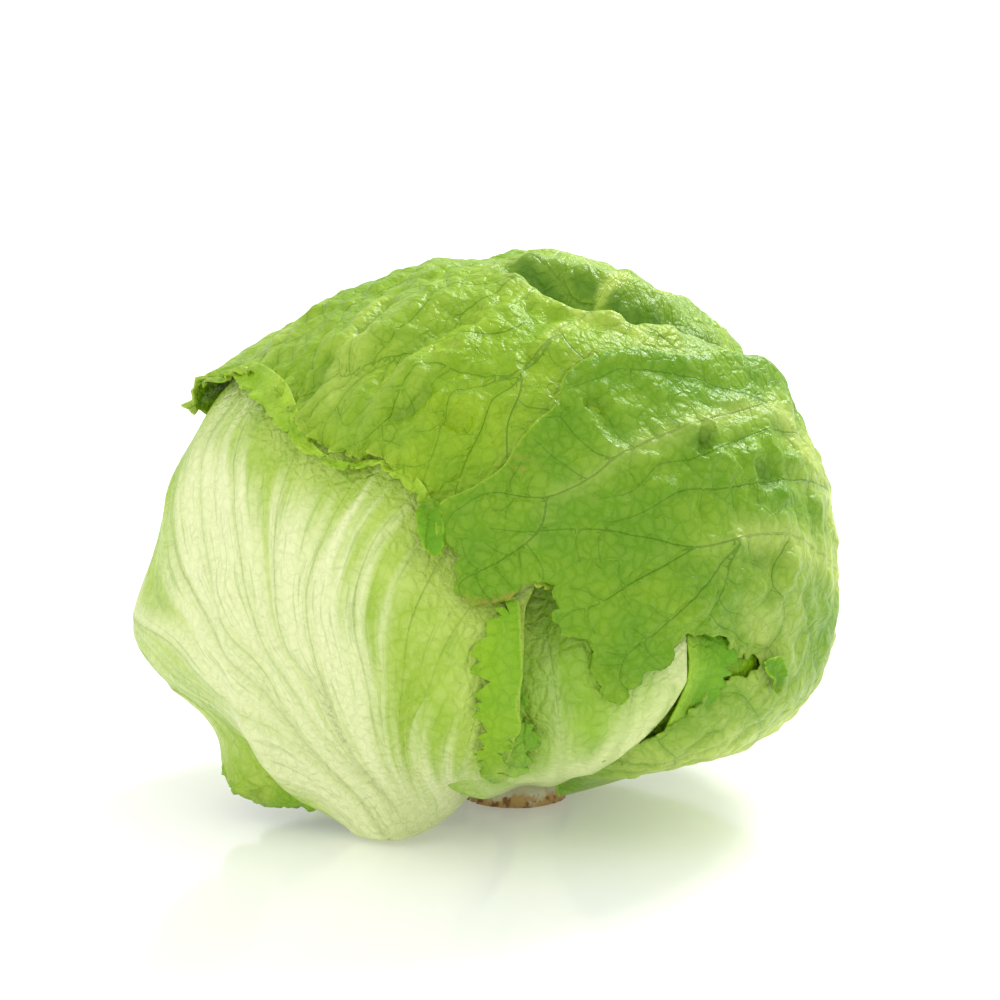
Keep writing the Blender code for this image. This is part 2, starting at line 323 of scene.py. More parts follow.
@dataclass(frozen=True)
class Pucker:
    """A small uneven pit with a raised rim: radius in millimetres and depth in metres."""

    azimuth: float
    elevation: float
    radius: float
    depth: float
    rim_place: float = 1.5
    rim_width: float = 0.45
    outline: Wave = Wave(1.2, 0.5)
    crown: Wave = Wave(1.6, 0.6, 40.0)

    def at(self, dirs: np.ndarray) -> np.ndarray:
        """Work out what it adds.

        Args:
            dirs: Unit vectors.

        Returns:
            One height a vector, in metres.
        """
        middle = direction(self.azimuth, self.elevation)
        space = dirs * RADIUS_MM
        away = np.degrees(np.arccos(np.clip(dirs @ middle, -1, 1))) * DEGREE_MM / self.radius
        away += self.outline.share * ROUGH.at(space, self.outline.cell * self.radius)
        rim = ROUGH.at(space + self.crown.shift, self.crown.cell * self.radius)
        rim = 1.0 - self.crown.share + self.crown.share * rim
        return self.depth * (rim * np.exp(-((away - self.rim_place) / self.rim_width) ** 2)
                             - np.exp(-(away**2)))


Relief = Swell | Fold | Pucker


def added(parts: tuple[Relief, ...], dirs: np.ndarray) -> np.ndarray:
    """Sum of several swellings, folds and pits along unit vectors."""
    return sum((part.at(dirs) for part in parts), np.zeros(len(dirs)))


@dataclass(frozen=True)
class HeadForm:
    """The outer form that all leaves follow."""

    centre_height: float = 0.058
    half_width: float = 0.0825
    half_depth: float = 0.078
    rise: float = 0.084
    drop: float = 0.053
    top_squareness: float = 2.15
    bottom_squareness: float = 2.8
    floor_clearance: float = 0.0006
    layer_pitch: float = 0.0030
    fade_angle: float = 13.0
    relief: tuple[Relief, ...] = (
        Swell(-95, 24, 24, 22, 0.0090),
        Swell(-92, 8, 28, 10, 0.0026),
        Swell(-88, -9, 20, 12, 0.0150),
        Swell(-38, -49, 15, 12, 0.0140),
        Swell(-76, -36, 14, 9, 0.0160),
        Swell(44, -43, 34, 14, -0.0075),
        Swell(84, 14, 30, 34, 0.0012),
        Swell(50, 70, 26, 14, -0.0025),
        Fold(-0.0055, 7, ((25, 74), (42, 66), (62, 62), (82, 56), (94, 44), (100, 30))),
        Fold(0.0020, 6, ((22, 58), (42, 55), (60, 52), (74, 46), (84, 36))),
        Fold(0.0025, 6, ((-40, -46), (-48, -34), (-56, -22), (-62, -8))),
        Fold(-0.0030, 6, ((-28, 62), (-42, 50))),
    )

    def reach(self, dirs: np.ndarray) -> np.ndarray:
        """Distance from the middle of the head to its outer form.

        Args:
            dirs: Unit vectors.

        Returns:
            Metres along each of them.
        """
        level = np.hypot(dirs[:, 0] / self.half_width, dirs[:, 1] / self.half_depth)
        rises = dirs[:, 2] >= 0
        power = np.where(rises, self.top_squareness, self.bottom_squareness)
        upright = np.abs(dirs[:, 2]) / np.where(rises, self.rise, self.drop)
        reach = (level**power + upright**power) ** (-1.0 / power)
        return np.minimum(reach + added(self.relief, dirs), self.to_floor(dirs))

    def to_floor(self, dirs: np.ndarray) -> np.ndarray:
        """Distance at which each direction would meet the floor."""
        return (self.centre_height - self.floor_clearance) / np.maximum(-dirs[:, 2], TINY)

    def raised(self, points: np.ndarray) -> np.ndarray:
        """Points measured from the middle of the head, as places above the floor."""
        return points + np.array([0.0, 0.0, self.centre_height])


FORM = HeadForm()


class Chart:
    """Flat map of the directions round a leaf's middle, in millimetres."""

    rim_steps = 24

    def __init__(self, middle: Pair, margin: Line) -> None:
        """Lay the margin out on the map.

        Args:
            middle: Azimuth and elevation at the middle of the map.
            margin: Azimuth and elevation of points along the margin.
        """
        self.middle = direction(*middle)
        self.right, self.up = tangents(*middle)
        self.curve = smooth_curve(self.to_map(directions(margin)), self.rim_steps, closed=True)
        if self.area(self.curve) < 0:
            self.curve = self.curve[::-1]
        self.rim = self.from_map(self.curve)

    @staticmethod
    def area(points: np.ndarray) -> float:
        """Area inside a closed run of map points, positive when it turns to the left."""
        following = np.roll(points, -1, axis=0)
        return 0.5 * float(np.sum(points[:, 0] * following[:, 1] - following[:, 0] * points[:, 1]))

    def to_map(self, dirs: np.ndarray) -> np.ndarray:
        """Lay directions out on the map.

        Args:
            dirs: Unit vectors.

        Returns:
            Map points.
        """
        angle = np.degrees(np.arccos(np.clip(dirs @ self.middle, -1, 1))) * DEGREE_MM
        x, y = dirs @ self.right, dirs @ self.up
        scale = angle / np.maximum(np.hypot(x, y), TINY)
        return np.stack([x * scale, y * scale], axis=-1)

    def from_map(self, points: np.ndarray) -> np.ndarray:
        """Bring map points back onto the form.

        Args:
            points: Map points.

        Returns:
            Unit vectors.
        """
        length = np.hypot(points[:, 0], points[:, 1])
        part = points / np.maximum(length, TINY)[:, None]
        lean = np.radians(length / DEGREE_MM)[:, None]
        side = part[:, :1] * self.right + part[:, 1:] * self.up
        return np.cos(lean) * self.middle + np.sin(lean) * side

    def inside(self, points: np.ndarray) -> np.ndarray:
        """Tell which points lie inside the margin.

        Args:
            points: Map points.

        Returns:
            True or false for each of them.
        """
        within = np.zeros(len(points), dtype=bool)
        for start, end in zip(self.curve, np.roll(self.curve, -1, axis=0)):
            spans = (start[1] > points[:, 1]) != (end[1] > points[:, 1])
            rise = end[1] - start[1] if end[1] != start[1] else 1.0
            crossing = start[0] + (points[:, 1] - start[1]) * (end[0] - start[0]) / rise
            within ^= spans & (points[:, 0] < crossing)
        return within

    def cover(self, dirs: np.ndarray) -> np.ndarray:
        """Tell how much the leaf lies over other places.

        Args:
            dirs: Unit vectors.

        Returns:
            1 under the leaf, falling to 0 a short way outside its margin.
        """
        outside = 1.0 - smooth_step(nearest_angle(dirs, self.rim) / FORM.fade_angle)
        return np.where(self.inside(self.to_map(dirs)), 1.0, outside)

    def spaced_rim(self, spacing: float) -> tuple[np.ndarray, np.ndarray]:
        """Divide the margin into equal lengths.

        Args:
            spacing: Millimetres between points.

        Returns:
            The map points, and how far along the margin each one lies.
        """
        path = spaced(np.concatenate([self.curve, self.curve[:1]]), spacing)
        return path[:-1], run_lengths(path)[:-1]


class Venation:
    """Veins of a leaf: listed main veins, and smaller ones that grow into the blade."""

    step = 1.4
    fine_steps = 4
    straightness = 1.05
    scatter = 0.45
    crowding = 0.6
    least_twig = 3
    relax_rounds = 4
    relax_share = 0.6

    def __init__(self, chart: Chart, mains: tuple[Line, ...], seed: int,
                 stages: tuple[Pair, ...]) -> None:
        """Lay the main veins, grow the rest and work out how thick each one is.

        Args:
            chart: The leaf's map.
            mains: Courses of the main veins, the first one from the leaf's base.
            seed: Where the random draws start.
            stages: Spacing and reach of each order of smaller veins.
        """
        self.chart = chart
        self.places = np.zeros((0, 2))
        self.headings = np.zeros((0, 2))
        self.parents = np.zeros(0, dtype=int)
        draw = np.random.default_rng(seed)
        for line in mains:
            self.lay(line)
        self.main_count = len(self.places)
        for spacing, reach in stages:
            self.grow(self.open_spots(spacing, draw), reach)
        self.prune()
        self.relax()
        self.thicken()

    def lay(self, line: Line) -> None:
        """Add a main vein, joined to the nearest vein that is already there.

        Args:
            line: Azimuth and elevation along its course.
        """
        corners = self.chart.to_map(directions(line))
        run = spaced(smooth_curve(corners, COURSE_STEPS, closed=False), self.step)
        first = len(self.places)
        links = np.arange(first - 1, first + len(run) - 1)
        links[0] = np.linalg.norm(self.places - run[0], axis=1).argmin() if first else 0
        self.add(run, unit(np.gradient(run, axis=0)), links)

    def add(self, places: np.ndarray, headings: np.ndarray, parents: np.ndarray) -> None:
        """Add vein points.

        Args:
            places: Where they lie on the map.
            headings: Which way the vein runs there.
            parents: Indices of the points that they grow from.
        """
        self.places = np.concatenate([self.places, places])
        self.headings = np.concatenate([self.headings, headings])
        self.parents = np.concatenate([self.parents, parents])

    def open_spots(self, spacing: float, draw: np.random.Generator) -> np.ndarray:
        """Scattered spots inside the blade.

        Args:
            spacing: Usual distance between spots.
            draw: Source of the random shifts.

        Returns:
            The spots on the map.
        """
        low, high = self.chart.curve.min(axis=0), self.chart.curve.max(axis=0)
        x, y = np.meshgrid(np.arange(low[0], high[0], spacing), np.arange(low[1], high[1], spacing))
        spots = np.stack([x.ravel(), y.ravel()], axis=-1)
        spots += draw.uniform(-self.scatter, self.scatter, spots.shape) * spacing
        return spots[self.chart.inside(spots)]

    def grow(self, spots: np.ndarray, reach: float) -> None:
        """Lengthen the veins until each spot has one near it.

        Args:
            spots: Open spots.
            reach: Distance at which a spot counts as reached.
        """
        near, gap = nearest(spots, self.places)
        while True:
            wanted = gap > reach
            spots, near, gap = spots[wanted], near[wanted], gap[wanted]
            if not len(spots):
                return
            tips, owner = np.unique(near, return_inverse=True)
            pull = np.zeros((len(tips), 2))
            np.add.at(pull, owner, (spots - self.places[near]) / gap[:, None])
            heading = unit(unit(pull) + self.straightness * self.headings[tips])
            fresh = self.places[tips] + self.step * heading
            free = nearest(fresh, self.places)[1] > self.crowding * self.step
            gap = np.where(free[owner], gap, 0.0)
            if free.any():
                first = len(self.places)
                self.add(fresh[free], heading[free], tips[free])
                index, closest = nearest(spots, self.places[first:])
                near = np.where(closest < gap, first + index, near)
                gap = np.minimum(gap, closest)

    def prune(self) -> None:
        """Drop twigs of a few points, which would look like thorns."""
        beyond = np.zeros(len(self.places))
        for index in range(len(self.places) - 1, 0, -1):
            parent = self.parents[index]
            beyond[parent] = max(beyond[parent], beyond[index] + 1)
        kept = np.ones(len(self.places), dtype=bool)
        for index in range(self.main_count, len(self.places)):
            parent = self.parents[index]
            twig = beyond[index] < self.least_twig and beyond[index] + 1 < beyond[parent]
            kept[index] = kept[parent] and not twig
        self.parents = (np.cumsum(kept) - 1)[self.parents[kept]]
        self.places, self.headings = self.places[kept], self.headings[kept]

    def relax(self) -> None:
        """Take small kinks out of the grown veins."""
        count = len(self.places)
        grown = np.arange(count) >= self.main_count
        for _ in range(self.relax_rounds):
            total = np.zeros((count, 2))
            share = np.zeros(count)
            np.add.at(total, self.parents[grown], self.places[grown])
            np.add.at(share, self.parents[grown], 1.0)
            busy = grown & (share > 0)
            middle = (total[busy] / share[busy, None] + self.places[self.parents[busy]]) / 2
            kept = (1.0 - self.relax_share) * self.places[busy]
            self.places[busy] = kept + self.relax_share * middle

    def thicken(self) -> None:
        """Give every point a girth from the vein ends beyond it, and fill in between points."""
        ends = np.ones(len(self.places))
        for index in range(len(self.places) - 1, 0, -1):
            ends[self.parents[index]] += ends[index]
        girths = (ends / ends.max()) ** 0.5
        inner = np.arange(1, len(self.places))
        start, end = self.places[self.parents[inner]], self.places[inner]
        part = (np.arange(self.fine_steps) + 0.5)[:, None, None] / self.fine_steps
        self.fine = (start + (end - start) * part).reshape(-1, 2)
        self.along = np.tile(unit(end - start), (self.fine_steps, 1))
        self.girths = np.tile(girths[inner], self.fine_steps)

    def measure(self, points: np.ndarray, least: float = 0.0) -> tuple[np.ndarray, ...]:
        """Set map points against the veins.

        Args:
            points: Places on the map.
            least: Smallest girth of the veins that count.

        Returns:
            Distance with a sign for the side, plain distance and girth of the nearest vein.
        """
        chosen = np.nonzero(self.girths >= least)[0]
        index, away = nearest(points, self.fine[chosen])
        index = chosen[index]
        offset = points - self.fine[index]
        side = self.along[index, 0] * offset[:, 1] - self.along[index, 1] * offset[:, 0]
        return side, away, self.girths[index]

    def crest(self, least: float, spacing: float) -> np.ndarray:
        """Pick points along the thicker veins, for a mesh to follow.

        Args:
            least: Smallest girth of the veins that count.
            spacing: Size of the squares that hold one point each.

        Returns:
            Map points.
        """
        chosen = self.fine[self.girths >= least]
        cells = np.unique(np.round(chosen / spacing).astype(int), axis=0, return_index=True)[1]
        return chosen[np.sort(cells)]


@dataclass(frozen=True)
class LeafFinish:
    """Colours and markings of one leaf.

    Colours are red, green and blue from 0 to 1 on screen.  The rim is the width of the pale
    margin in millimetres; where the edge colour is paler than the blade it is painted highlight along
    the lit margin, elsewhere the margin's own tint.  The other numbers are how strongly each marking
    shows, the valley being painted shade in the grooves beside the veins.
    """

    name: str
    slot: str
    blade: Colour
    deep: Colour
    pale: Colour
    edge: Colour
    line: Colour
    dry: Colour = (0.66, 0.56, 0.24)
    rim: float = 1.1
    net: float = 0.14
    vein: float = 0.66
    valley: float = 0.35
    streak: float = 0.15
    fibre: float = 0.0


# The crown's wide, pale rim is painted highlight along its lit, curled margin.
CROWN = LeafFinish("crown_blade", "green_leaf", (0.57, 0.71, 0.09), (0.47, 0.64, 0.02),
                   (0.69, 0.79, 0.32), (0.78, 0.88, 0.34), (0.27, 0.46, 0.01), rim=2.6)
FRONT = LeafFinish("front_blade", "green_leaf", (0.47, 0.64, 0.06), (0.38, 0.58, 0.01),
                   (0.74, 0.82, 0.40), (0.66, 0.82, 0.18), (0.25, 0.44, 0.01))
WRAPPER = LeafFinish("wrapper_blade", "pale_leaf", (0.72, 0.82, 0.36), (0.60, 0.74, 0.18),
                     (0.90, 0.93, 0.70), (0.62, 0.77, 0.18), (0.50, 0.64, 0.22), net=0.14,
                     vein=0.24, valley=0.2, streak=0.5, fibre=0.32)
PALE = LeafFinish("low_blade", "pale_leaf", (0.60, 0.75, 0.22), (0.50, 0.68, 0.12),
                  (0.85, 0.90, 0.62), (0.86, 0.92, 0.62), (0.46, 0.62, 0.16), vein=0.3)
INNER = LeafFinish("inner_blade", "green_leaf", (0.44, 0.66, 0.05), (0.34, 0.58, 0.01),
                   (0.62, 0.78, 0.24), (0.60, 0.80, 0.08), (0.26, 0.46, 0.02))
FOLDED = LeafFinish("folded_blade", "green_leaf", (0.54, 0.71, 0.08), (0.44, 0.65, 0.03),
                    (0.70, 0.82, 0.30), (0.72, 0.84, 0.30), (0.30, 0.48, 0.02))
# A paler copy of the crown's green for its curled-out margin: painted light on the lit rim.
LIP_PAINTED_LIGHT = LeafFinish("curled_lip_painted_light", "green_leaf", (0.66, 0.80, 0.20), (0.53, 0.71, 0.08),
                 (0.76, 0.86, 0.40), (0.76, 0.87, 0.34), (0.34, 0.52, 0.03))


def linear(colour: Colour) -> tuple[float, float, float, float]:
    """Screen colour as the linear light that shaders use."""
    parts = [c / 12.92 if c <= 0.04045 else ((c + 0.055) / 1.055) ** 2.4 for c in colour]
    return (*parts, 1.0)


@dataclass(frozen=True)
class Grain:
    """One noise of a finish: bumps a metre, finer layers on it, and its share."""

    scale: float
    detail: float
    share: float = 1.0


class Graph:
    """A node tree with short calls for the nodes that the finishes use."""

    def __init__(self, tree: bpy.types.NodeTree) -> None:
        """Work in one node tree.

        Args:
            tree: The tree.
        """
        self.tree = tree

    def node(self, kind: str, inputs: dict | None = None, **settings: object) -> bpy.types.Node:
        """Add a node.

        Args:
            kind: The node's type, without its common start.
            inputs: Values or output sockets by input name or number.
            **settings: Properties of the node.

        Returns:
            The node.
        """
        made = self.tree.nodes.new("ShaderNode" + kind)
        for name, value in settings.items():
            setattr(made, name, value)
        for name, value in (inputs or {}).items():
            if isinstance(value, bpy.types.NodeSocket):
                self.tree.links.new(value, made.inputs[name])
            else:
                made.inputs[name].default_value = value
        return made

    def value(self, name: str) -> Socket:
        """A number that the mesh carries under a name."""
        return self.node("Attribute", attribute_name=name).outputs["Fac"]

    def math(self, operation: str, a: object, b: object = 0.0, c: object = 0.0) -> Socket:
        """A sum, product or other operation on up to three numbers."""
        return self.node("Math", {0: a, 1: b, 2: c}, operation=operation).outputs[0]

    def vector(self, x: object, y: object) -> Socket:
        """A place from two numbers."""
        return self.node("CombineXYZ", {0: x, 1: y}).outputs[0]

    def mix(self, share: object, a: object, b: object) -> Socket:
        """A colour between two others."""
        return self.node("Mix", {0: share, 6: a, 7: b}, data_type="RGBA").outputs[2]

    def ramp(self, source: object, low: float, high: float) -> Socket:
        """A number that rises softly from 0 to 1 while its source goes from low to high."""
        made = self.node("MapRange", {0: source, 1: low, 2: high}, interpolation_type="SMOOTHSTEP")
        return made.outputs[0]

    def fall(self, source: object, low: float, high: object) -> Socket:
        """A number that falls softly from 1 to 0 while its source goes from low to high."""
        return self.math("SUBTRACT", 1.0, self.ramp(source, low, high))

    def noise(self, place: object, grain: Grain) -> Socket:
        """Soft noise of 0 to 1."""
        inputs = {"Vector": place, "Scale": grain.scale, "Detail": grain.detail}
        return self.node("TexNoise", inputs).outputs["Fac"]


class LeafPattern:
    """Shader group that draws a leaf's colour, relief and gloss from what its mesh carries."""

    name = "leaf_pattern"
    colours = ("Blade", "Deep", "Pale", "Edge", "Line", "Dry")
    numbers = ("Rim", "Net", "Vein", "Valley", "Streak", "Fibre")

    # Fine net, the cells in it with painted light on their raised middles, and painted shade in the grooves
    # beside a vein
    net_band = (0.0, 0.09)
    cell_painted_light_band = (0.02, 0.20)
    cell_painted_light_share = 0.5
    cell_scale = 310.0
    warp = Grain(160.0, 2.0, 0.004)
    painted_groove_shade_band = (0.2, 2.4)

    # Pale rim: the margin's own tint, and painted highlight along the lit margin where the edge colour is
    # paler; and dried spots
    rim_start = 0.1
    rim_tint_and_highlight_share = 0.7
    spots = Grain(900.0, 3.0)
    spot_band = (0.42, 0.60)

    # Gloss and fine relief
    gloss = Grain(160.0, 3.0, 0.24)
    least_roughness = 0.26
    grit = Grain(1500.0, 2.0, 0.50)
    blisters = Grain(420.0, 3.0, 0.9)
    beads = Grain(1.0, 1.0, 0.5)
    bead_stretch = (0.8, 0.65)
    groove = -0.40
    pillow_band = (0.0, 0.28)
    pillow_share = 0.5

    # Lines and streaks along the rays, and uneven green
    fibre_stretch = (1.3, 0.05)
    fibre_detail = 2.0
    fibre_band = (0.56, 0.68)
    streak_stretch = (0.42, 0.016)
    streak_detail = 4.0
    streak_gain = 3.0
    mottle = Grain(65.0, 6.0)
    mottle_band = (0.30, 0.70)

    # Veins: line width by girth, and where along the leaf they start to show
    vein_width = (0.5, 0.13)
    vein_band = (0.3, 1.3)
    vein_reach = 0.6
    vein_start = (55.0, 115.0)
    vein_strength = (-0.16, 0.26)

    def group(self) -> bpy.types.NodeTree:
        """The group, made at its first use.

        Returns:
            The group, with the outputs Colour, Height and Roughness.
        """
        known = bpy.data.node_groups.get(self.name)
        if known:
            return known
        tree = bpy.data.node_groups.new(self.name, "ShaderNodeTree")
        for name in self.colours:
            tree.interface.new_socket(name, in_out="INPUT", socket_type="NodeSocketColor")
        for name in self.numbers:
            tree.interface.new_socket(name, in_out="INPUT", socket_type="NodeSocketFloat")
        tree.interface.new_socket("Colour", in_out="OUTPUT", socket_type="NodeSocketColor")
        for name in ("Height", "Roughness"):
            tree.interface.new_socket(name, in_out="OUTPUT", socket_type="NodeSocketFloat")
        self.draw(Graph(tree))
        return tree

    def draw(self, graph: Graph) -> None:
        """Draw the pattern.

        Args:
            graph: The group's nodes.
        """
        inputs = graph.tree.nodes.new("NodeGroupInput").outputs
        outputs = graph.tree.nodes.new("NodeGroupOutput").inputs
        place = graph.node("TexCoord").outputs["Object"]
        border, vein = self.cells(graph, place), self.vein(graph)
        net = graph.fall(border, *self.net_band)
        fibre = graph.math("MULTIPLY", self.fibre(graph), inputs["Fibre"])
        tone = self.ground(graph, place, inputs)
        # Painted shade in the grooves beside the veins
        valley = graph.fall(graph.value("vein_away"), *self.painted_groove_shade_band)
        tone = graph.mix(graph.math("MULTIPLY", valley, inputs["Valley"]), tone, inputs["Deep"])
        # Paler cell middles: painted light on the raised cells
        cell = graph.math("MULTIPLY", graph.ramp(border, *self.cell_painted_light_band), self.cell_painted_light_share)
        tone = graph.mix(graph.math("MULTIPLY", cell, inputs["Net"]), tone, inputs["Pale"])
        tone = graph.mix(fibre, tone, inputs["Line"])
        tone = graph.mix(graph.math("MULTIPLY", net, inputs["Net"]), tone, inputs["Line"])
        tone = graph.mix(graph.math("MULTIPLY", vein, inputs["Vein"]), tone, inputs["Line"])
        tone = graph.mix(graph.value("rib"), tone, inputs["Pale"])
        # Margin band in the edge colour: painted highlight along the lit margin where it is paler than the
        # blade, else the margin's own tint
        rim = graph.fall(graph.value("edge"), self.rim_start, inputs["Rim"])
        tone = graph.mix(graph.math("MULTIPLY", rim, self.rim_tint_and_highlight_share), tone, inputs["Edge"])
        spots = graph.ramp(graph.noise(place, self.spots), *self.spot_band)
        tone = graph.mix(graph.math("MULTIPLY", spots, graph.value("dry")), tone, inputs["Dry"])
        graph.tree.links.new(tone, outputs["Colour"])
        graph.tree.links.new(self.height(graph, place, border, vein), outputs["Height"])
        gloss = graph.noise(place, self.gloss)
        rough = graph.math("MULTIPLY_ADD", gloss, self.gloss.share, self.least_roughness)
        graph.tree.links.new(rough, outputs["Roughness"])

    def height(self, graph: Graph, place: Socket, border: Socket, vein: Socket) -> Socket:
        """Fine relief: grooves along the veins, small blisters and beads along the streaks.

        Args:
            graph: The group's nodes.
            place: Object coordinates.
            border: Distance to the borders of the net's cells.
            vein: Mask of the veins.

        Returns:
            The height.
        """
        height = graph.math("MULTIPLY", graph.noise(place, self.grit), self.grit.share)
        blisters = graph.noise(place, self.blisters)
        height = graph.math("MULTIPLY_ADD", blisters, self.blisters.share, height)
        beads = self.fan(graph, self.bead_stretch, self.beads.detail)
        height = graph.math("MULTIPLY_ADD", beads, self.beads.share, height)
        height = graph.math("MULTIPLY_ADD", vein, self.groove, height)
        pillow = graph.ramp(border, *self.pillow_band)
        return graph.math("MULTIPLY_ADD", pillow, self.pillow_share, height)

    def fan(self, graph: Graph, stretch: Pair, detail: float) -> Socket:
        """Noise drawn out along the rays that leave the leaf's base.

        Args:
            graph: The group's nodes.
            stretch: Bumps a degree across the rays and a millimetre along them.
            detail: Finer layers on the noise.

        Returns:
            The noise.
        """
        across = graph.math("MULTIPLY", graph.value("ray"), stretch[0])
        along = graph.math("MULTIPLY", graph.value("along"), stretch[1])
        return graph.noise(graph.vector(across, along), Grain(1.0, detail))

    def fibre(self, graph: Graph) -> Socket:
        """Mask of thin lines along the rays."""
        return graph.ramp(self.fan(graph, self.fibre_stretch, self.fibre_detail), *self.fibre_band)

    def ground(self, graph: Graph, place: Socket, inputs: bpy.types.NodeInputs) -> Socket:
        """Colour of the blade, paler near its base and along its ribs, with painted highlight on lit ridges
        and flutes and painted shade in its hollows.

        Args:
            graph: The group's nodes.
            place: Object coordinates.
            inputs: What the group is given.

        Returns:
            The colour.
        """
        noise = self.fan(graph, self.streak_stretch, self.streak_detail)
        streak = graph.math("SUBTRACT", noise, 0.5)
        strength = graph.math("MULTIPLY", inputs["Streak"], self.streak_gain)
        pale = graph.math("MULTIPLY_ADD", streak, strength, graph.value("pale"))
        mottle = graph.ramp(graph.noise(place, self.mottle), *self.mottle_band)
        tone = graph.mix(mottle, inputs["Blade"], inputs["Deep"])
        tone = graph.mix(graph.ramp(pale, 0.0, 1.0), tone, inputs["Pale"])
        # Painted shade in the furrow, grooves and pits, mixed towards the line colour
        return graph.mix(graph.value("hollow"), tone, inputs["Line"])

    def cells(self, graph: Graph, place: Socket) -> Socket:
        """Divide the surface into uneven cells of a few millimetres.

        Args:
            graph: The group's nodes.
            place: Object coordinates.

        Returns:
            Distance to the borders of the cells.
        """
        warp = graph.node("TexNoise", {"Vector": place, "Scale": self.warp.scale,
                                       "Detail": self.warp.detail}).outputs["Color"]
        bent = graph.node("VectorMath", {0: warp, 1: (self.warp.share,) * 3, 2: place},
                          operation="MULTIPLY_ADD").outputs[0]
        made = graph.node("TexVoronoi", {"Vector": bent, "Scale": self.cell_scale},
                          feature="DISTANCE_TO_EDGE")
        return made.outputs["Distance"]

    def vein(self, graph: Graph) -> Socket:
        """Draw the veins as thin lines that widen with their girth.

        Args:
            graph: The group's nodes.

        Returns:
            Mask of the veins.
        """
        girth = graph.value("vein_girth")
        side = graph.math("ABSOLUTE", graph.value("vein_side"))
        width = graph.math("MULTIPLY_ADD", girth, *self.vein_width)
        line = graph.fall(graph.math("DIVIDE", side, width), *self.vein_band)
        reach = graph.math("ADD", width, self.vein_reach)
        close = graph.math("LESS_THAN", graph.value("vein_away"), reach)
        apart = graph.ramp(graph.value("along"), *self.vein_start)
        weight = graph.math("MULTIPLY", graph.ramp(girth, *self.vein_strength), apart)
        return graph.math("MULTIPLY", graph.math("MULTIPLY", line, close), weight)


LEAF_BUMP = {"Distance": 0.0006, "Strength": 0.85}
LEAF_SPECULAR = 0.26


def leaf_material(finish: LeafFinish) -> bpy.types.Material:
    """The material of a leaf, made once for each finish.

    Args:
        finish: Its colours and markings.

    Returns:
        The material.
    """
    known = bpy.data.materials.get(finish.name)
    if known:
        return known
    material = bpy.data.materials.new(finish.name)
    material.use_nodes = True
    graph = Graph(material.node_tree)
    shader = material.node_tree.nodes["Principled BSDF"]
    pattern = graph.node("Group", node_tree=LeafPattern().group())
    for name in LeafPattern.colours:
        pattern.inputs[name].default_value = linear(getattr(finish, name.lower()))
    for name in LeafPattern.numbers:
        pattern.inputs[name].default_value = getattr(finish, name.lower())
    bump = graph.node("Bump", {"Height": pattern.outputs["Height"], **LEAF_BUMP})
    graph.tree.links.new(pattern.outputs["Colour"], shader.inputs["Base Color"])
    graph.tree.links.new(pattern.outputs["Roughness"], shader.inputs["Roughness"])
    graph.tree.links.new(bump.outputs[0], shader.inputs["Normal"])
    shader.inputs["Specular IOR Level"].default_value = LEAF_SPECULAR
    return material


@dataclass(frozen=True)
class Edge:
    """A leaf's free margin: its cut, and how it stands off and waves, in millimetres."""

    habit: Habit = Habit.TOOTHED
    tooth: float = 2.4
    tooth_length: float = 8.0
    wander: float = 0.8
    lift: float = -0.5
    frill: float = 0.5
    frill_length: float = 14.0
    band: float = 7.0
    calm: Line = ()
    calm_width: float = 5.0


@dataclass(frozen=True)
class Surface:
    """A leaf's fine relief, in millimetres."""

    crumple: float = 0.8
    pockets: float = 0.5
    quilt: float = 0.45
    ribs: float = 1.0
    streaks: float = 0.0
    details: tuple[Relief, ...] = ()


@dataclass(frozen=True)
class Tint:
    """Where a leaf is pale (in places painted highlight on lit ridges), where painted shade darkens its
    furrows and pits, and where it is dried: lengths in millimetres, heights as shares.
    """

    pale_length: float = 60.0
    ribs: float = 1.0
    pale: tuple[Relief, ...] = ()
    # deep: painted shade in furrows, grooves and pits
    deep: tuple[Relief, ...] = ()
    dry: tuple[Relief, ...] = ()


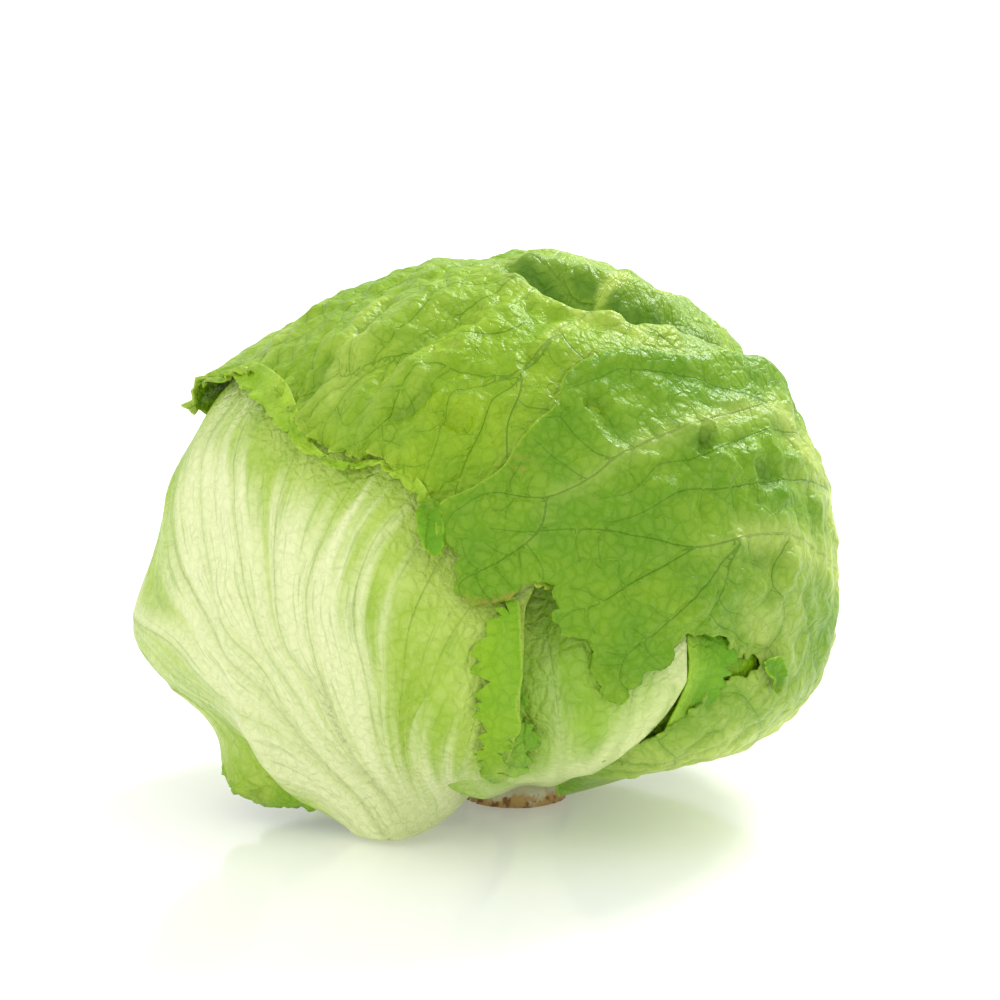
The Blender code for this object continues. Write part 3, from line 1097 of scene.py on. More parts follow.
@dataclass
class LeafBlade:
    """One leaf of the head: its outline, its layer, its edge and its veins."""

    # Cut of the margin
    rim_step: ClassVar[float] = 0.6
    wander_cell: ClassVar[float] = 13.0
    cut_power: ClassVar[dict[Habit, float]] = {Habit.TOOTHED: 1.6, Habit.LOBED: 3.0}
    fine_cut: ClassVar[Pair] = (0.3, 1.2)
    fine_depth: ClassVar[float] = 0.32
    cut_lengths: ClassVar[Pair] = (0.45, 1.6)
    cut_sizes: ClassVar[Pair] = (0.25, 1.0)
    cut_lean: ClassVar[float] = 0.3

    # Degrees above the neck over which cuts, frill and bumps grow to their full size
    cut_rise: ClassVar[float] = 12.0
    edge_rise: ClassVar[float] = 20.0
    bump_rise: ClassVar[float] = 25.0

    # Waves of the margin
    frill_drift: ClassVar[Wave] = Wave(24.0, 0.8)
    frill_swing: ClassVar[Wave] = Wave(17.0, 0.8, 90.0)
    frill_level: ClassVar[float] = 0.6
    frill_rough: ClassVar[Wave] = Wave(0.35, 0.4, 60.0)

    # Mesh: gaps as shares of the spacing
    crest_girth: ClassVar[float] = 0.12
    crest_spacing: ClassVar[float] = 0.9
    crest_gap: ClassVar[float] = 0.55
    rim_gap: ClassVar[float] = 0.5

    # Ridges along the rays
    ray_pitch: ClassVar[float] = 9.0
    flute_stretch: ClassVar[Pair] = (0.55, 0.02)
    flute_waves: ClassVar[Waves] = (Wave(3.2, 1.0, 9.0), Wave(1.5, 0.6, 5.4), Wave(0.7, 0.3, 2.7))

    # Ribs: a width is its least value and how it grows with the girth
    least_rib: ClassVar[float] = 0.16
    rib_fade: ClassVar[Pair] = (60.0, 45.0)
    rib_line: ClassVar[Pair] = (0.4, 2.6)
    rib_halo: ClassVar[Pair] = (1.5, 12.0)
    rib_swell: ClassVar[Pair] = (0.5, 2.2)

    # Paleness, with painted highlight on the flute ridges, and the share of the bumps that is left under
    # other leaves
    base_paleness: ClassVar[float] = 1.25
    rib_paleness: ClassVar[float] = 0.5
    flute_painted_highlight: ClassVar[float] = 0.3
    covered_share: ClassVar[float] = 0.2

    # Folds, pits and the pillows between veins
    bends: ClassVar[Waves] = tuple(Wave(14.0, 3.0, shift) for shift in (10, 50, 90))
    folds: ClassVar[Waves] = (Wave(24.0), Wave(11.0, 0.45, 70))
    pits: ClassVar[Waves] = (Wave(8.0, 1.3, -70), Wave(4.0, 0.8, 30))
    pit_level: ClassVar[float] = 0.9
    pillow: ClassVar[Wave] = Wave(9.0, 0.6, 150)
    pillow_height: ClassVar[float] = 0.75
    pillow_width: ClassVar[float] = 2.0
    pillow_level: ClassVar[float] = 0.7

    # The leaf itself
    node: str
    middle: Pair
    margin: Line
    veins: tuple[Line, ...]
    finish: LeafFinish
    seed: int
    spacing: float = 1.3
    thickness: float = 0.0007
    edge: Edge = Edge()
    surface: Surface = Surface()
    tint: Tint = Tint()
    vein_stages: tuple[Pair, ...] = ((8.0, 2.8),)
    fanned: bool = False
    neck: float = -50.0
    part: str = "blade"
    offset: float = 0.0

    def __post_init__(self) -> None:
        """Lay out the map, and start this leaf's noise and random draws."""
        self.chart = Chart(self.middle, self.margin)
        self.noise = Noise(self.seed)
        self.draw = np.random.default_rng(self.seed)

    def toothed_rim(self) -> np.ndarray:
        """Cut the teeth into the margin.

        Returns:
            Map points round the leaf.
        """
        points, marks = self.chart.spaced_rim(self.rim_step)
        along = np.roll(points, -1, axis=0) - np.roll(points, 1, axis=0)
        inward = unit(np.stack([-along[:, 1], along[:, 0]], axis=-1))
        dirs = self.chart.from_map(points)
        cut = self.tooth_depth(marks) * self.lively(dirs)
        cut += self.edge.wander * (1.0 + self.noise.along(marks, self.wander_cell))
        return points + inward * (cut * self.above_neck(dirs, self.cut_rise))[:, None]

    def lively(self, dirs: np.ndarray) -> np.ndarray:
        """Tell where the margin is cut and waved.

        Args:
            dirs: Unit vectors.

        Returns:
            0 along the calm stretches of the margin and 1 away from them.
        """
        if not self.edge.calm:
            return np.ones(len(dirs))
        away = nearest_angle(dirs, course(self.edge.calm))
        return smooth_step(away / self.edge.calm_width - 0.5)

    def tooth_depth(self, marks: np.ndarray) -> np.ndarray:
        """How far the margin is cut back.

        Args:
            marks: Distance along the margin.

        Returns:
            One depth a mark: deep and sharp between teeth, none at their tips.
        """
        if self.edge.habit is Habit.SMOOTH:
            return np.zeros(len(marks))
        power = self.cut_power[self.edge.habit]
        lobes = self.scallops(marks, self.edge.tooth_length, power) * self.edge.tooth
        length, power = self.fine_cut
        teeth = self.scallops(marks, length * self.edge.tooth_length, power)
        return lobes + teeth * self.fine_depth * self.edge.tooth

    def scallops(self, marks: np.ndarray, length: float, power: float) -> np.ndarray:
        """A row of uneven scallops.

        Args:
            marks: Distance along the margin.
            length: Usual length of one scallop.
            power: How narrow the cuts between them are.

        Returns:
            Depths of 0 to 1.
        """
        ends = [0.0]
        while ends[-1] < marks[-1] + 1.0:
            ends.append(ends[-1] + length * self.draw.uniform(*self.cut_lengths))
        ends = np.array(ends) * (marks[-1] + 1.0) / ends[-1]
        which = np.searchsorted(ends, marks, side="right") - 1
        part = (marks - ends[which]) / (ends[which + 1] - ends[which])
        sizes = self.draw.uniform(*self.cut_sizes, len(ends))
        lean = 0.5 + self.cut_lean * self.draw.uniform(-1.0, 1.0, len(ends))[which]
        warped = np.where(part < lean, 0.5 * part / lean, 0.5 + 0.5 * (part - lean) / (1 - lean))
        return sizes[which] * np.abs(2 * warped - 1) ** power

    def above_neck(self, dirs: np.ndarray, blend: float) -> np.ndarray:
        """0 round the leaf's base and 1 over the rest of its blade."""
        elevation = np.degrees(np.arcsin(np.clip(dirs[:, 2], -1, 1)))
        return smooth_step((elevation - self.neck) / blend)

    def sheet(self, veins: Venation) -> tuple[np.ndarray, list[tuple[int, ...]]]:
        """Fill the toothed margin with points that follow the thicker veins.

        Args:
            veins: The leaf's veins.

        Returns:
            The map points and the triangles between them.
        """
        rim = self.toothed_rim()
        low, high = rim.min(axis=0), rim.max(axis=0)
        rows = []
        for row, y in enumerate(np.arange(low[1], high[1], self.spacing * math.sqrt(3) / 2)):
            x = np.arange(low[0] + (row % 2) * self.spacing / 2, high[0], self.spacing)
            rows.append(np.stack([x, np.full(len(x), y)], axis=-1))
        crest = veins.crest(self.crest_girth, self.crest_spacing * self.spacing)
        lattice = np.concatenate(rows)
        lattice = lattice[nearest(lattice, crest)[1] > self.crest_gap * self.spacing]
        points = np.concatenate([crest, lattice])
        points = points[self.chart.inside(points)]
        points = points[nearest(points, rim)[1] > self.rim_gap * self.spacing]
        flat = [Vector(p) for p in np.concatenate([rim, points])]
        result = delaunay_2d_cdt(flat, [], [list(range(len(rim)))], FILL_INSIDE, SAME_POINT)
        return np.array([tuple(v) for v in result[0]]), [tuple(f) for f in result[2]]

    def edge_shift(self, dirs: np.ndarray, flat: np.ndarray) -> tuple[np.ndarray, np.ndarray]:
        """Work out how the free margin stands off the head.

        Args:
            dirs: Unit vectors of the points.
            flat: Their map points.

        Returns:
            The outward shift and the distance to the margin.
        """
        rim, marks = self.chart.spaced_rim(1.0)
        index, away = nearest(flat, rim)
        drift, swing, rough = self.frill_drift, self.frill_swing, self.frill_rough
        phase = marks / self.edge.frill_length + drift.share * self.noise.along(marks, drift.cell)
        size = self.frill_level + swing.share * self.noise.along(marks + swing.shift, swing.cell)
        wave = (np.sin(2 * np.pi * phase) * size)[index]
        cell = rough.cell * self.edge.frill_length
        wave += rough.share * self.noise.at(dirs * RADIUS_MM + rough.shift, cell)
        near = np.exp(-(away / self.edge.band) ** 2)
        near = near * self.above_neck(dirs, self.edge_rise) * self.lively(dirs)
        return near * (self.edge.lift + self.edge.frill * wave), away

    def fan(self, flat: np.ndarray) -> tuple[np.ndarray, np.ndarray]:
        """Place points in the fan of main veins that leave the leaf's base.

        Args:
            flat: Map points.

        Returns:
            A bearing that keeps its value along each main vein, and the distance to the base.
        """
        base = self.chart.to_map(directions(self.veins[0][:1]))
        ray, along = bearing(flat - base), np.hypot(*(flat - base).T)
        if not self.fanned:
            return ray, along
        rays = []
        for line in self.veins:
            run = smooth_curve(self.chart.to_map(directions(line)), COURSE_STEPS, closed=False) - base
            rays.append(np.interp(along, np.maximum.accumulate(np.hypot(*run.T)), bearing(run)))
        rays = np.sort(rays, axis=0)
        before, beyond = (ray - rays[0]) / self.ray_pitch, (ray - rays[-1]) / self.ray_pitch
        place = np.where(ray < rays[0], before, len(rays) - 1 + beyond)
        for index, (left, right) in enumerate(zip(rays[:-1], rays[1:])):
            between = (ray >= left) & (ray < right)
            share = (ray - left) / np.maximum(right - left, TINY)
            place = np.where(between, index + share, place)
        return self.ray_pitch * place, along

    def shape(self, dirs: np.ndarray, flat: np.ndarray, veins: Venation,
              above: tuple["LeafBlade", ...]) -> dict[str, np.ndarray]:
        """Work out the blade's surface and what its finish reads.

        Args:
            dirs: Unit vectors of the blade's points.
            flat: Their map points.
            veins: The leaf's veins.
            above: The leaves that lie over this one.

        Returns:
            Values by name, one a point: reach in metres, the rest in millimetres or shares.
        """
        side, away, girth = veins.measure(flat)
        _, rib_away, rib_girth = veins.measure(flat, self.least_rib)
        covers = [leaf.chart.cover(dirs) for leaf in above] + [np.zeros(len(dirs))]
        free = np.prod([1.0 - cover for cover in covers], axis=0)
        shift, edge = self.edge_shift(dirs, flat)
        ray, along = self.fan(flat)
        if self.fanned:
            start, length = self.rib_fade
            rib_girth = rib_girth * smooth_step((along - start) / length)
        thick = smooth_step((rib_girth - 0.1) / 0.5)
        rib = self.tint.ribs * ridge(rib_away, rib_girth, *self.rib_line) * thick
        flutes = self.flutes(np.stack([ray, along], axis=-1) * self.flute_stretch)
        bumps = self.relief(dirs, away, rib_away, rib_girth) + self.surface.streaks * flutes
        bumps = bumps * (self.covered_share + (1.0 - self.covered_share) * free)
        bumps = bumps * self.above_neck(dirs, self.bump_rise) + shift * free + self.offset
        details = added(self.surface.details, dirs)
        reach = FORM.reach(dirs) - FORM.layer_pitch * sum(covers) + bumps * MM + details * free
        # Paler along the ribs and near the base; the flute term is painted highlight on the flute ridges
        pale = self.rib_paleness * ridge(rib_away, rib_girth, *self.rib_halo)
        pale *= smooth_step(rib_girth * 2.5) * self.tint.ribs
        pale += self.base_paleness * np.exp(-(along / self.tint.pale_length) ** 2)
        pale += added(self.tint.pale, dirs) + self.flute_painted_highlight * self.surface.streaks * flutes
        return {
            "reach": np.minimum(reach, FORM.to_floor(dirs)),
            "vein_side": side, "vein_away": away, "vein_girth": girth, "rib": rib, "edge": edge,
            "ray": ray, "along": along, "pale": pale,
            # hollow: painted shade in the furrow, grooves and pits
            "hollow": np.clip(added(self.tint.deep, dirs), 0, 1),
            "dry": np.clip(added(self.tint.dry, dirs), 0, 1),
        }

    def flutes(self, fan: np.ndarray) -> np.ndarray:
        """Long ridges and grooves, from places across and along the leaf's rays."""
        return sum(wave.share * wave.at(self.noise, solid(fan)) for wave in self.flute_waves)

    def relief(self, dirs: np.ndarray, away: np.ndarray, rib_away: np.ndarray,
               rib_girth: np.ndarray) -> np.ndarray:
        """Height of folds, pillows between veins and ribs, in millimetres.

        Args:
            dirs: Unit vectors of the points.
            away: Distance to the nearest vein.
            rib_away: Distance to the nearest thick vein.
            rib_girth: Girth of that vein.

        Returns:
            One height a point.
        """
        look = self.surface
        space = dirs * RADIUS_MM
        space = space + np.stack([w.share * w.at(self.noise, space) for w in self.bends], axis=-1)
        folds = sum(w.share * w.at(self.noise, space) for w in self.folds)
        pockets = sum(w.share * np.abs(w.at(self.noise, space)) for w in self.pits) - self.pit_level
        swell = self.pillow_height + self.pillow.share * self.pillow.at(self.noise, space)
        pillow = (1.0 - np.exp(-(away / self.pillow_width) ** 2)) * swell - self.pillow_level
        rib = ridge(rib_away, rib_girth, *self.rib_swell) * np.minimum(rib_girth * 1.6, 1.0)
        return (look.crumple * folds + look.pockets * pockets + look.quilt * pillow
                + look.ribs * rib)

    def build(self, above: tuple["LeafBlade", ...]) -> bpy.types.Object:
        """Make the leaf's mesh, give it thickness and dress it.

        Args:
            above: The leaves that lie over this one.

        Returns:
            The finished object.
        """
        veins = Venation(self.chart, self.veins, self.seed, self.vein_stages)
        flat, faces = self.sheet(veins)
        dirs = self.chart.from_map(flat)
        values = self.shape(dirs, flat, veins, above)
        places = FORM.raised(dirs * values.pop("reach")[:, None])
        name = self.node + "_" + self.part
        mesh = bpy.data.meshes.new(name)
        mesh.from_pydata([tuple(p) for p in places], [], faces)
        carry(mesh, values)
        mesh.materials.append(leaf_material(self.finish))
        item = bpy.data.objects.new(name, mesh)
        bpy.context.scene.collection.objects.link(item)
        thicken(item, self.thickness)
        place_piece(item, self.node)
        return item


def carry(mesh: bpy.types.Mesh, values: dict[str, np.ndarray]) -> None:
    """Store numbers on the points of a mesh, for its finish to read.

    Args:
        mesh: The mesh.
        values: Numbers by name, one a point.
    """
    for name, value in values.items():
        layer = mesh.attributes.new(name, "FLOAT", "POINT")
        layer.data.foreach_set("value", value.astype(np.float32))


def thicken(item: bpy.types.Object, thickness: float) -> None:
    """Give a sheet its thickness on the inner side, and smooth shading.

    Args:
        item: The sheet.
        thickness: Metres.
    """
    bpy.ops.object.select_all(action="DESELECT")
    item.select_set(True)
    bpy.context.view_layer.objects.active = item
    blade = item.modifiers.new("blade", "SOLIDIFY")
    blade.thickness = thickness
    blade.offset = -1.0
    bpy.ops.object.modifier_apply(modifier="blade")
    bpy.ops.object.shade_smooth()


def place_piece(item: bpy.types.Object, node: str) -> None:
    """Let a piece stand for a solid of the head.

    Args:
        item: The piece.
        node: The solid that it replaces.
    """
    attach(item, BODY)
    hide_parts(node)
    LOG.info("%s: %d faces", item.name, len(item.data.polygons))


FRONT_RIB = ((94, -73), (92, -50), (90, -25), (87, -5), (83, 12), (76, 26), (66, 38), (50, 44))
LEFT_RIB = ((-30, -73), (-34, -45), (-46, -14), (-57, -1), (-67, 11), (-75, 24), (-82, 38))
FOOT_HOLLOW = Swell(-6, -50, 12, 18, -0.0140)
FURROW = ((10, 82), (34, 77), (50, 71), (60, 65), (68, 60), (76, 55), (83, 50), (88, 46))

LEAVES = (
    LeafBlade(
        "leaf_front_right", (75, 5),
        ((32, 1), (36, 0.5), (39.5, 0), (41, -3.5), (44, -5), (48, -6), (48, -7), (44, -7.2),
         (40, -8), (36, -10), (33, -12.5), (30, -15), (26, -18), (20, -22), (15, -33), (16, -50),
         (28, -65), (60, -73), (92, -74.5), (118, -73), (124, -50), (126, -25), (122, 5),
         (112, 22), (98, 34), (84, 41), (72, 46), (59, 49), (46, 50.5), (32, 54), (19, 52.5),
         (12, 49.5), (9, 44.5), (5, 42), (0, 37.5), (-3, 33.5), (-7, 30.5), (-11, 28.5), (-15, 26),
         (-15, 20), (-12, 18), (-12, 12), (-10, 9.5), (-6, 8.5), (-2, 9.5), (1, 11.5), (4, 13),
         (6, 11), (6, 7), (8, 3.5), (12, 2), (13, -3), (15, -8), (18.5, -10.5), (22, -8),
         (25, -5), (28, -4), (30, -2)),
        (
            FRONT_RIB,
            ((86, 0), (68, 10), (58, 15), (48, 17), (35, 17), (24, 20), (15, 22), (1, 22)),
            ((44, 16), (34, 9), (27, 4), (21, 0)),
            ((44, 16), (38, 7), (34, 2)),
            ((68, 37), (50, 38), (33, 37), (21, 34), (15, 31), (6, 28), (-3, 29)),
            ((75, 29), (63, 33), (48, 33), (38, 32), (30, 32), (23, 28), (16, 27)),
            ((81, 18), (63, 24), (44, 26), (34, 27), (24, 24), (18, 23)),
            ((35, 17), (21, 12), (15, 9), (10, 8)),
            ((58, 15), (52, 8), (56, 1), (52, -4)),
            ((6, 28), (4, 22), (-3, 17), (-9, 14)),
            ((60, 41), (44, 47), (28, 50)),
            ((88, -8), (102, 2), (112, 8)),
            ((91, -34), (106, -28), (118, -28)),
            ((84, 12), (98, 22), (106, 27)),
            ((92, -62), (66, -50), (44, -38), (34, -24)),
            ((92, -55), (74, -38), (58, -24), (46, -12)),
            ((91, -45), (80, -25), (70, -10), (62, 2)),
        ),
        FRONT, 11, spacing=0.9, vein_stages=((8.0, 3.0), (4.6, 2.5)),
        edge=Edge(tooth=2.2, tooth_length=8.0, wander=0.3, lift=-0.4, frill=0.6, calm=(
            (-15, 24), (-11, 28.5), (-3, 33.5), (5, 42), (12, 49.5), (19, 52.5), (32, 54), (46, 50.5),
            (59, 49), (72, 46), (84, 41), (98, 34), (112, 22), (126, -25), (118, -70), (60, -73),
            (22, -62), (15, -48), (14, -34))),
        surface=Surface(crumple=1.3, pockets=0.9, quilt=0.8, ribs=0.6, details=(
            Pucker(57, 27, 4.0, 0.0024), Pucker(41.8, 34.5, 3.0, 0.0032), Pucker(51, 12, 6.0, 0.0016),
            Fold(0.0014, 1.2, ((39.2, 36.8), (43.5, 31.8), (48.8, 28.2))),
            Fold(0.0012, 1.3, ((15, 45.8), (16.5, 41.2), (21.8, 34.5))),
            Fold(0.0010, 1.2, ((26.5, 29.8), (31, 27.2))),
            Fold(-0.0010, 2.0, ((22.8, 14), (35, 14.5), (44.5, 13.5))),
            Pucker(20, 45, 2.6, 0.0014), Pucker(66, 30, 4.0, 0.0012), Pucker(25, 30, 5.0, 0.0008),
            Fold(0.0012, 3, ((19, 51), (32, 52), (46, 49), (59, 47), (72, 44), (84, 38))),
            Fold(-0.0012, 3, ((0, 30), (8, 36), (16, 42))), Swell(92, 35, 11, 10, -0.0020),
            Fold(-0.0045, 5, ((24, -23), (17, -33), (15, -50))),
        )),
        tint=Tint(
            pale_length=50.0,
            pale=(Fold(0.45, 9, FRONT_RIB[:6]), Swell(56, -30, 34, 13, 0.90),
                  Swell(52, 0, 15, 14, 0.50)),
            # deep: painted shade in the pits and small dents
            deep=(Swell(42.2, 34.6, 1.9, 1.6, 0.9), Swell(57.5, 26.6, 2.2, 2.0, 0.5),
                  Swell(51, 12, 3.0, 2.6, 0.35), Swell(12, 50.5, 2.4, 1.6, 0.5)),
            dry=(Fold(0.9, 0.9, ((-11, 10), (-6, 9.2), (-3, 9.6), (0, 11))), Swell(1, 34, 2, 1.5, 0.4)),
        ),
    ),
    LeafBlade(
        "leaf_crown", (140, 38),
        ((-93, 26), (-94, 31), (-84, 35), (-74, 39), (-66, 40), (-60, 38), (-52, 35.5), (-46, 33),
         (-40, 31.5), (-34, 31), (-29, 32), (-25, 30.5), (-20, 28), (-16, 24), (-10, 16),
         (10, 10), (40, 6), (75, 2), (105, -10), (114, -35), (116, -60),
         (118, -73.5), (145, -74.5), (172, -73.5), (178, -55), (-174, -25), (-164, 0),
         (-150, 14), (-132, 20), (-112, 22)),
        (
            ((145, -73), (143, -35), (138, 5), (128, 38), (105, 62), (65, 72), (34, 66), (14, 61)),
            ((34, 64), (9, 77), (-15, 72), (-25, 68), (-28, 60), (-38, 52), (-43, 47), (-44, 38)),
            ((24, 64), (6, 65), (-2, 62), (-13, 60), (-26, 58), (-37, 54), (-48, 47), (-58, 39)),
            ((16, 60), (0, 52), (-13, 51), (-22, 51), (-27, 48), (-29, 41), (-32, 36)),
            ((9, 77), (-20, 76), (-42, 71), (-40, 62), (-44, 49), (-49, 41)),
            ((14, 60), (4, 55), (0, 50), (-6, 46), (-8, 40), (-11, 34), (-13, 27)),
            ((5, 56), (2, 53), (1, 48), (-2, 42), (-2, 36)),
            ((0, 51), (-12, 48), (-16, 46), (-17, 39), (-19, 30)),
            ((50, 76), (20, 86), (-82, 82), (-83, 70), (-78, 60), (-78, 50), (-84, 39)),
            ((128, 42), (160, 62), (-150, 62), (-120, 48), (-108, 32)),
            ((138, 10), (165, 30), (-170, 30), (-150, 24)),
            ((128, 30), (112, 15), (104, 2)),
        ),
        CROWN, 23, spacing=1.15, vein_stages=((7.5, 3.0), (4.6, 2.5)),
        edge=Edge(habit=Habit.LOBED, tooth=2.2, tooth_length=13.0, wander=1.2, lift=1.9, frill=2.6,
                  frill_length=10.0, band=4.5),
        surface=Surface(crumple=1.5, pockets=1.0, quilt=0.75, ribs=0.4, streaks=1.9, details=(
            Fold(-0.0026, 1.5, ((-60.5, 63.8), (-56.2, 59.5), (-54.5, 56))),
            Fold(-0.0022, 1.3, ((-57.2, 49), (-54, 43.8), (-54, 41.2))),
            Fold(-0.0018, 1.2, ((-60.2, 45.8), (-60.2, 41.8))),
            Fold(-0.0022, 1.6, ((-22, 45.8), (-24.8, 42.8), (-27.5, 40.8))),
            Fold(-0.0016, 1.3, ((-69.2, 47.2), (-69.8, 42.8))),
            Fold(-0.0014, 1.2, ((-49.5, 50.2), (-47.2, 44.5), (-47, 41))),
            Fold(0.0012, 1.4, ((-74, 67), (-58.5, 58.5), (-50.2, 48.5), (-46.8, 42))),
            Fold(0.0026, 2.6, ((-28.8, 49.8), (-31, 42.8))),
            Fold(0.0016, 2.2, ((-40.5, 47), (-39.2, 43.8))),
            Fold(0.0018, 2, ((-68.2, 49.2), (-68.2, 44))),
            Fold(0.0018, 2.2, ((-60, 52.2), (-57, 46.5))),
            Fold(0.0014, 3.4, ((-43, 72.8), (-43, 58.8), (-45.5, 50.8))),
            Fold(-0.0015, 1.8, ((-21.2, 68.2), (-30, 60), (-34, 53))),
            Fold(0.0016, 3, ((-4.5, 65.8), (-18.8, 56.2), (-24.2, 49.8))),
            Pucker(-13.8, 41.8, 3.6, 0.0022),
            Pucker(7, 54, 4.0, 0.0026), Pucker(-20, 55.8, 2.6, 0.0016), Pucker(-88, 53.5, 3.0, 0.0018),
            Fold(-0.0016, 2.6, ((4, 50), (-3, 40), (-8, 32))),
            Fold(-0.0050, 2.8, FURROW),
            Fold(0.0042, 3.2, ((4, 77), (18, 72), (28, 68), (37, 63))),
            Fold(0.0032, 2.8, ((37, 63), (44, 59), (54, 56.5), (66, 52.5), (78, 47))),
            Fold(0.0030, 3.4, ((30, 84), (62, 80), (76, 74), (82, 68), (87, 62))),
            Fold(0.0024, 1.8, ((54, 55), (66, 61), (74, 64))),
            Swell(94, 32, 12, 12, -0.0048),
        )),
        tint=Tint(pale_length=50.0, pale=(
            Swell(-66, 50, 30, 16, 0.40), Swell(-8, 74, 40, 8, 0.25),
            # Painted highlight along the front ridge of the furrow
            Fold(0.35, 3, ((4, 76), (24, 70), (36, 64), (42, 57), (52, 54))),
            Fold(0.35, 1.6, ((-74, 67), (-58.5, 58.5), (-50.2, 48.5), (-46.8, 42))),
        # deep: painted shade in the furrow and in the grooves
        ), deep=(
            Fold(0.9, 4.2, ((16, 83), (42, 79), (58, 73), (67, 67), (74, 61), (80, 56), (86, 50))),
            Fold(0.5, 1.0, ((-60.5, 63.8), (-56.2, 59.5), (-54.5, 56))),
            Fold(0.5, 0.9, ((-57.2, 49), (-54, 43.8), (-54, 41.2))),
            Fold(0.4, 1.2, ((-22, 45.8), (-24.8, 42.8), (-27.5, 40.8))),
        )),
    ),
    LeafBlade(
        "leaf_left", (-50, 0),
        ((4, 14), (2, 8), (1.5, 1), (1, -6), (0.5, -14), (-2, -24), (-7, -33), (-11, -42), (-12, -52),
         (-13, -63), (-16, -73), (-36, -74.5), (-50, -73.5), (-54, -60), (-52, -46), (-60, -40),
         (-69, -36.5), (-78, -29), (-90, -24), (-106, -12), (-116, 4), (-116, 20), (-104, 31),
         (-75, 45), (-58, 44), (-40, 40), (-20, 37), (-10, 34), (2, 24)),
        (
            LEFT_RIB,
            ((-31, -66), (-35, -38), (-50, -13), (-64, -1), (-79, 9), (-87, 20), (-94, 30)),
            ((-30, -66), (-32, -34), (-42, -12), (-50, -2), (-56, 11), (-63, 24), (-69, 34)),
            ((-29, -66), (-30, -37), (-37, -11), (-45, -1), (-48, 13), (-50, 26), (-52, 36)),
            ((-28, -66), (-29, -40), (-34, -16), (-38, -3), (-40, 8), (-37, 20), (-33, 34)),
            ((-27, -66), (-27, -34), (-27, -10), (-30, 5), (-28, 16), (-22, 28)),
            ((-26, -66), (-24, -31), (-21, -9), (-19, 6), (-14, 19)),
            ((-25, -66), (-22, -36), (-20, -16), (-16, -7), (-12, 3), (-6, 12)),
            ((-24, -66), (-16, -44), (-12, -28), (-8, -14), (-6, -6)),
            ((-32, -66), (-36, -39), (-50, -19), (-63, -12), (-74, -6), (-92, -4), (-106, 6)),
            ((-33, -66), (-42, -42), (-60, -26), (-78, -18), (-92, -16)),
            ((-34, -66), (-46, -50), (-60, -40), (-72, -34)),
        ),
        WRAPPER, 37, spacing=0.85, fanned=True, vein_stages=((16.0, 5.0),),
        edge=Edge(tooth=3.2, tooth_length=7.0, wander=0.3, lift=0.3, frill=0.9,
                  calm=((2, 8), (1, -6), (0, -24), (-20, -46), (-52, -46), (-60, -40), (-69, -36.5),
                        (-78, -29))),
        surface=Surface(crumple=0.5, pockets=0.2, quilt=0.15, ribs=0.8, streaks=1.2, details=(
            Fold(0.0026, 3, ((-41, -49), (-48, -44), (-54, -36), (-54, -24), (-55, -10), (-59, 6))),
            Fold(-0.0030, 3, ((-52, -48), (-60, -38), (-62, -26))),
            FOOT_HOLLOW, Swell(-48, -46, 8, 8, -0.0035),
        )),
        tint=Tint(pale_length=48.0, pale=(
            Fold(0.55, 8, ((-34, -45), (-46, -26), (-54, -8), (-62, 6), (-72, 20), (-78, 34))),
            Fold(0.70, 20, ((-30, -30), (-44, -5), (-60, 20))),
            Swell(-78, -12, 14, 20, 0.25), Swell(-70, -38, 16, 8, -1.1), Swell(-10, -8, 12, 22, -0.28),
            Swell(-40, 36, 40, 8, -0.5), Swell(-62, 31, 18, 9, -0.3), Swell(-36, 8, 14, 16, 0.35),
        )),
    ),
    LeafBlade(
        "leaf_back_left", (-140, -14),
        ((-98, 20), (-94, 0), (-92, -25), (-94, -48), (-100, -73), (-140, -74.5), (176, -73.5),
         (170, -55), (168, -25), (170, 5), (-175, 30), (-150, 42), (-120, 38)),
        (
            ((-140, -73), (-140, -40), (-139, -10), (-140, 20), (-142, 36)),
            ((-138, -66), (-126, -40), (-114, -10), (-108, 18)),
            ((-142, -66), (-154, -40), (-168, -12), (-176, 14)),
            ((-139, -66), (-132, -40), (-124, -8), (-120, 28)),
            ((-141, -66), (-147, -40), (-156, -8), (-162, 30)),
        ),
        WRAPPER, 41, fanned=True, surface=Surface(crumple=0.7, pockets=0.3, ribs=1.0, streaks=0.45),
        tint=Tint(pale_length=55.0, pale=(Fold(0.6, 9, ((-140, -60), (-140, -10), (-140, 20))),)),
    ),
    LeafBlade(
        "leaf_back_right", (128, -12),
        ((100, 20), (94, 0), (94, -28), (98, -50), (102, -73), (125, -74.5), (146, -73.5),
         (154, -55), (160, -30), (162, 0), (154, 25), (132, 36), (112, 32)),
        (
            ((125, -73), (126, -40), (128, -10), (130, 30)),
            ((124, -66), (114, -36), (108, 0), (110, 24)),
            ((127, -66), (140, -36), (148, 0), (148, 22)),
        ),
        FRONT, 43, spacing=1.5, offset=-1.6,
    ),
    LeafBlade(
        "leaf_inner_left", (-14, -15),
        ((0, 10), (1, 2), (1.5, -5), (3, -9), (1.5, -11.5), (4, -14.5), (5, -18), (3.5, -21.5),
         (3, -28), (0, -30.5), (-4, -29), (-10, -25), (-20, -24), (-29, -22), (-34, -16), (-40, 0),
         (-32, 18), (-12, 20)),
        (
            ((-8, -73), (-10, -40), (-12, -10), (-14, 16)),
            ((-7, -66), (-4, -40), (-2, -16), (-2, 4)),
        ),
        INNER, 47, spacing=1.0,
        edge=Edge(tooth=2.4, tooth_length=5.0, wander=0.3, lift=0.6, frill=1.0, frill_length=8.0,
                  band=3.5),
        surface=Surface(details=(Swell(-14, -44, 18, 10, -0.0060), FOOT_HOLLOW)),
    ),
    LeafBlade(
        "leaf_front_low", (8, -22),
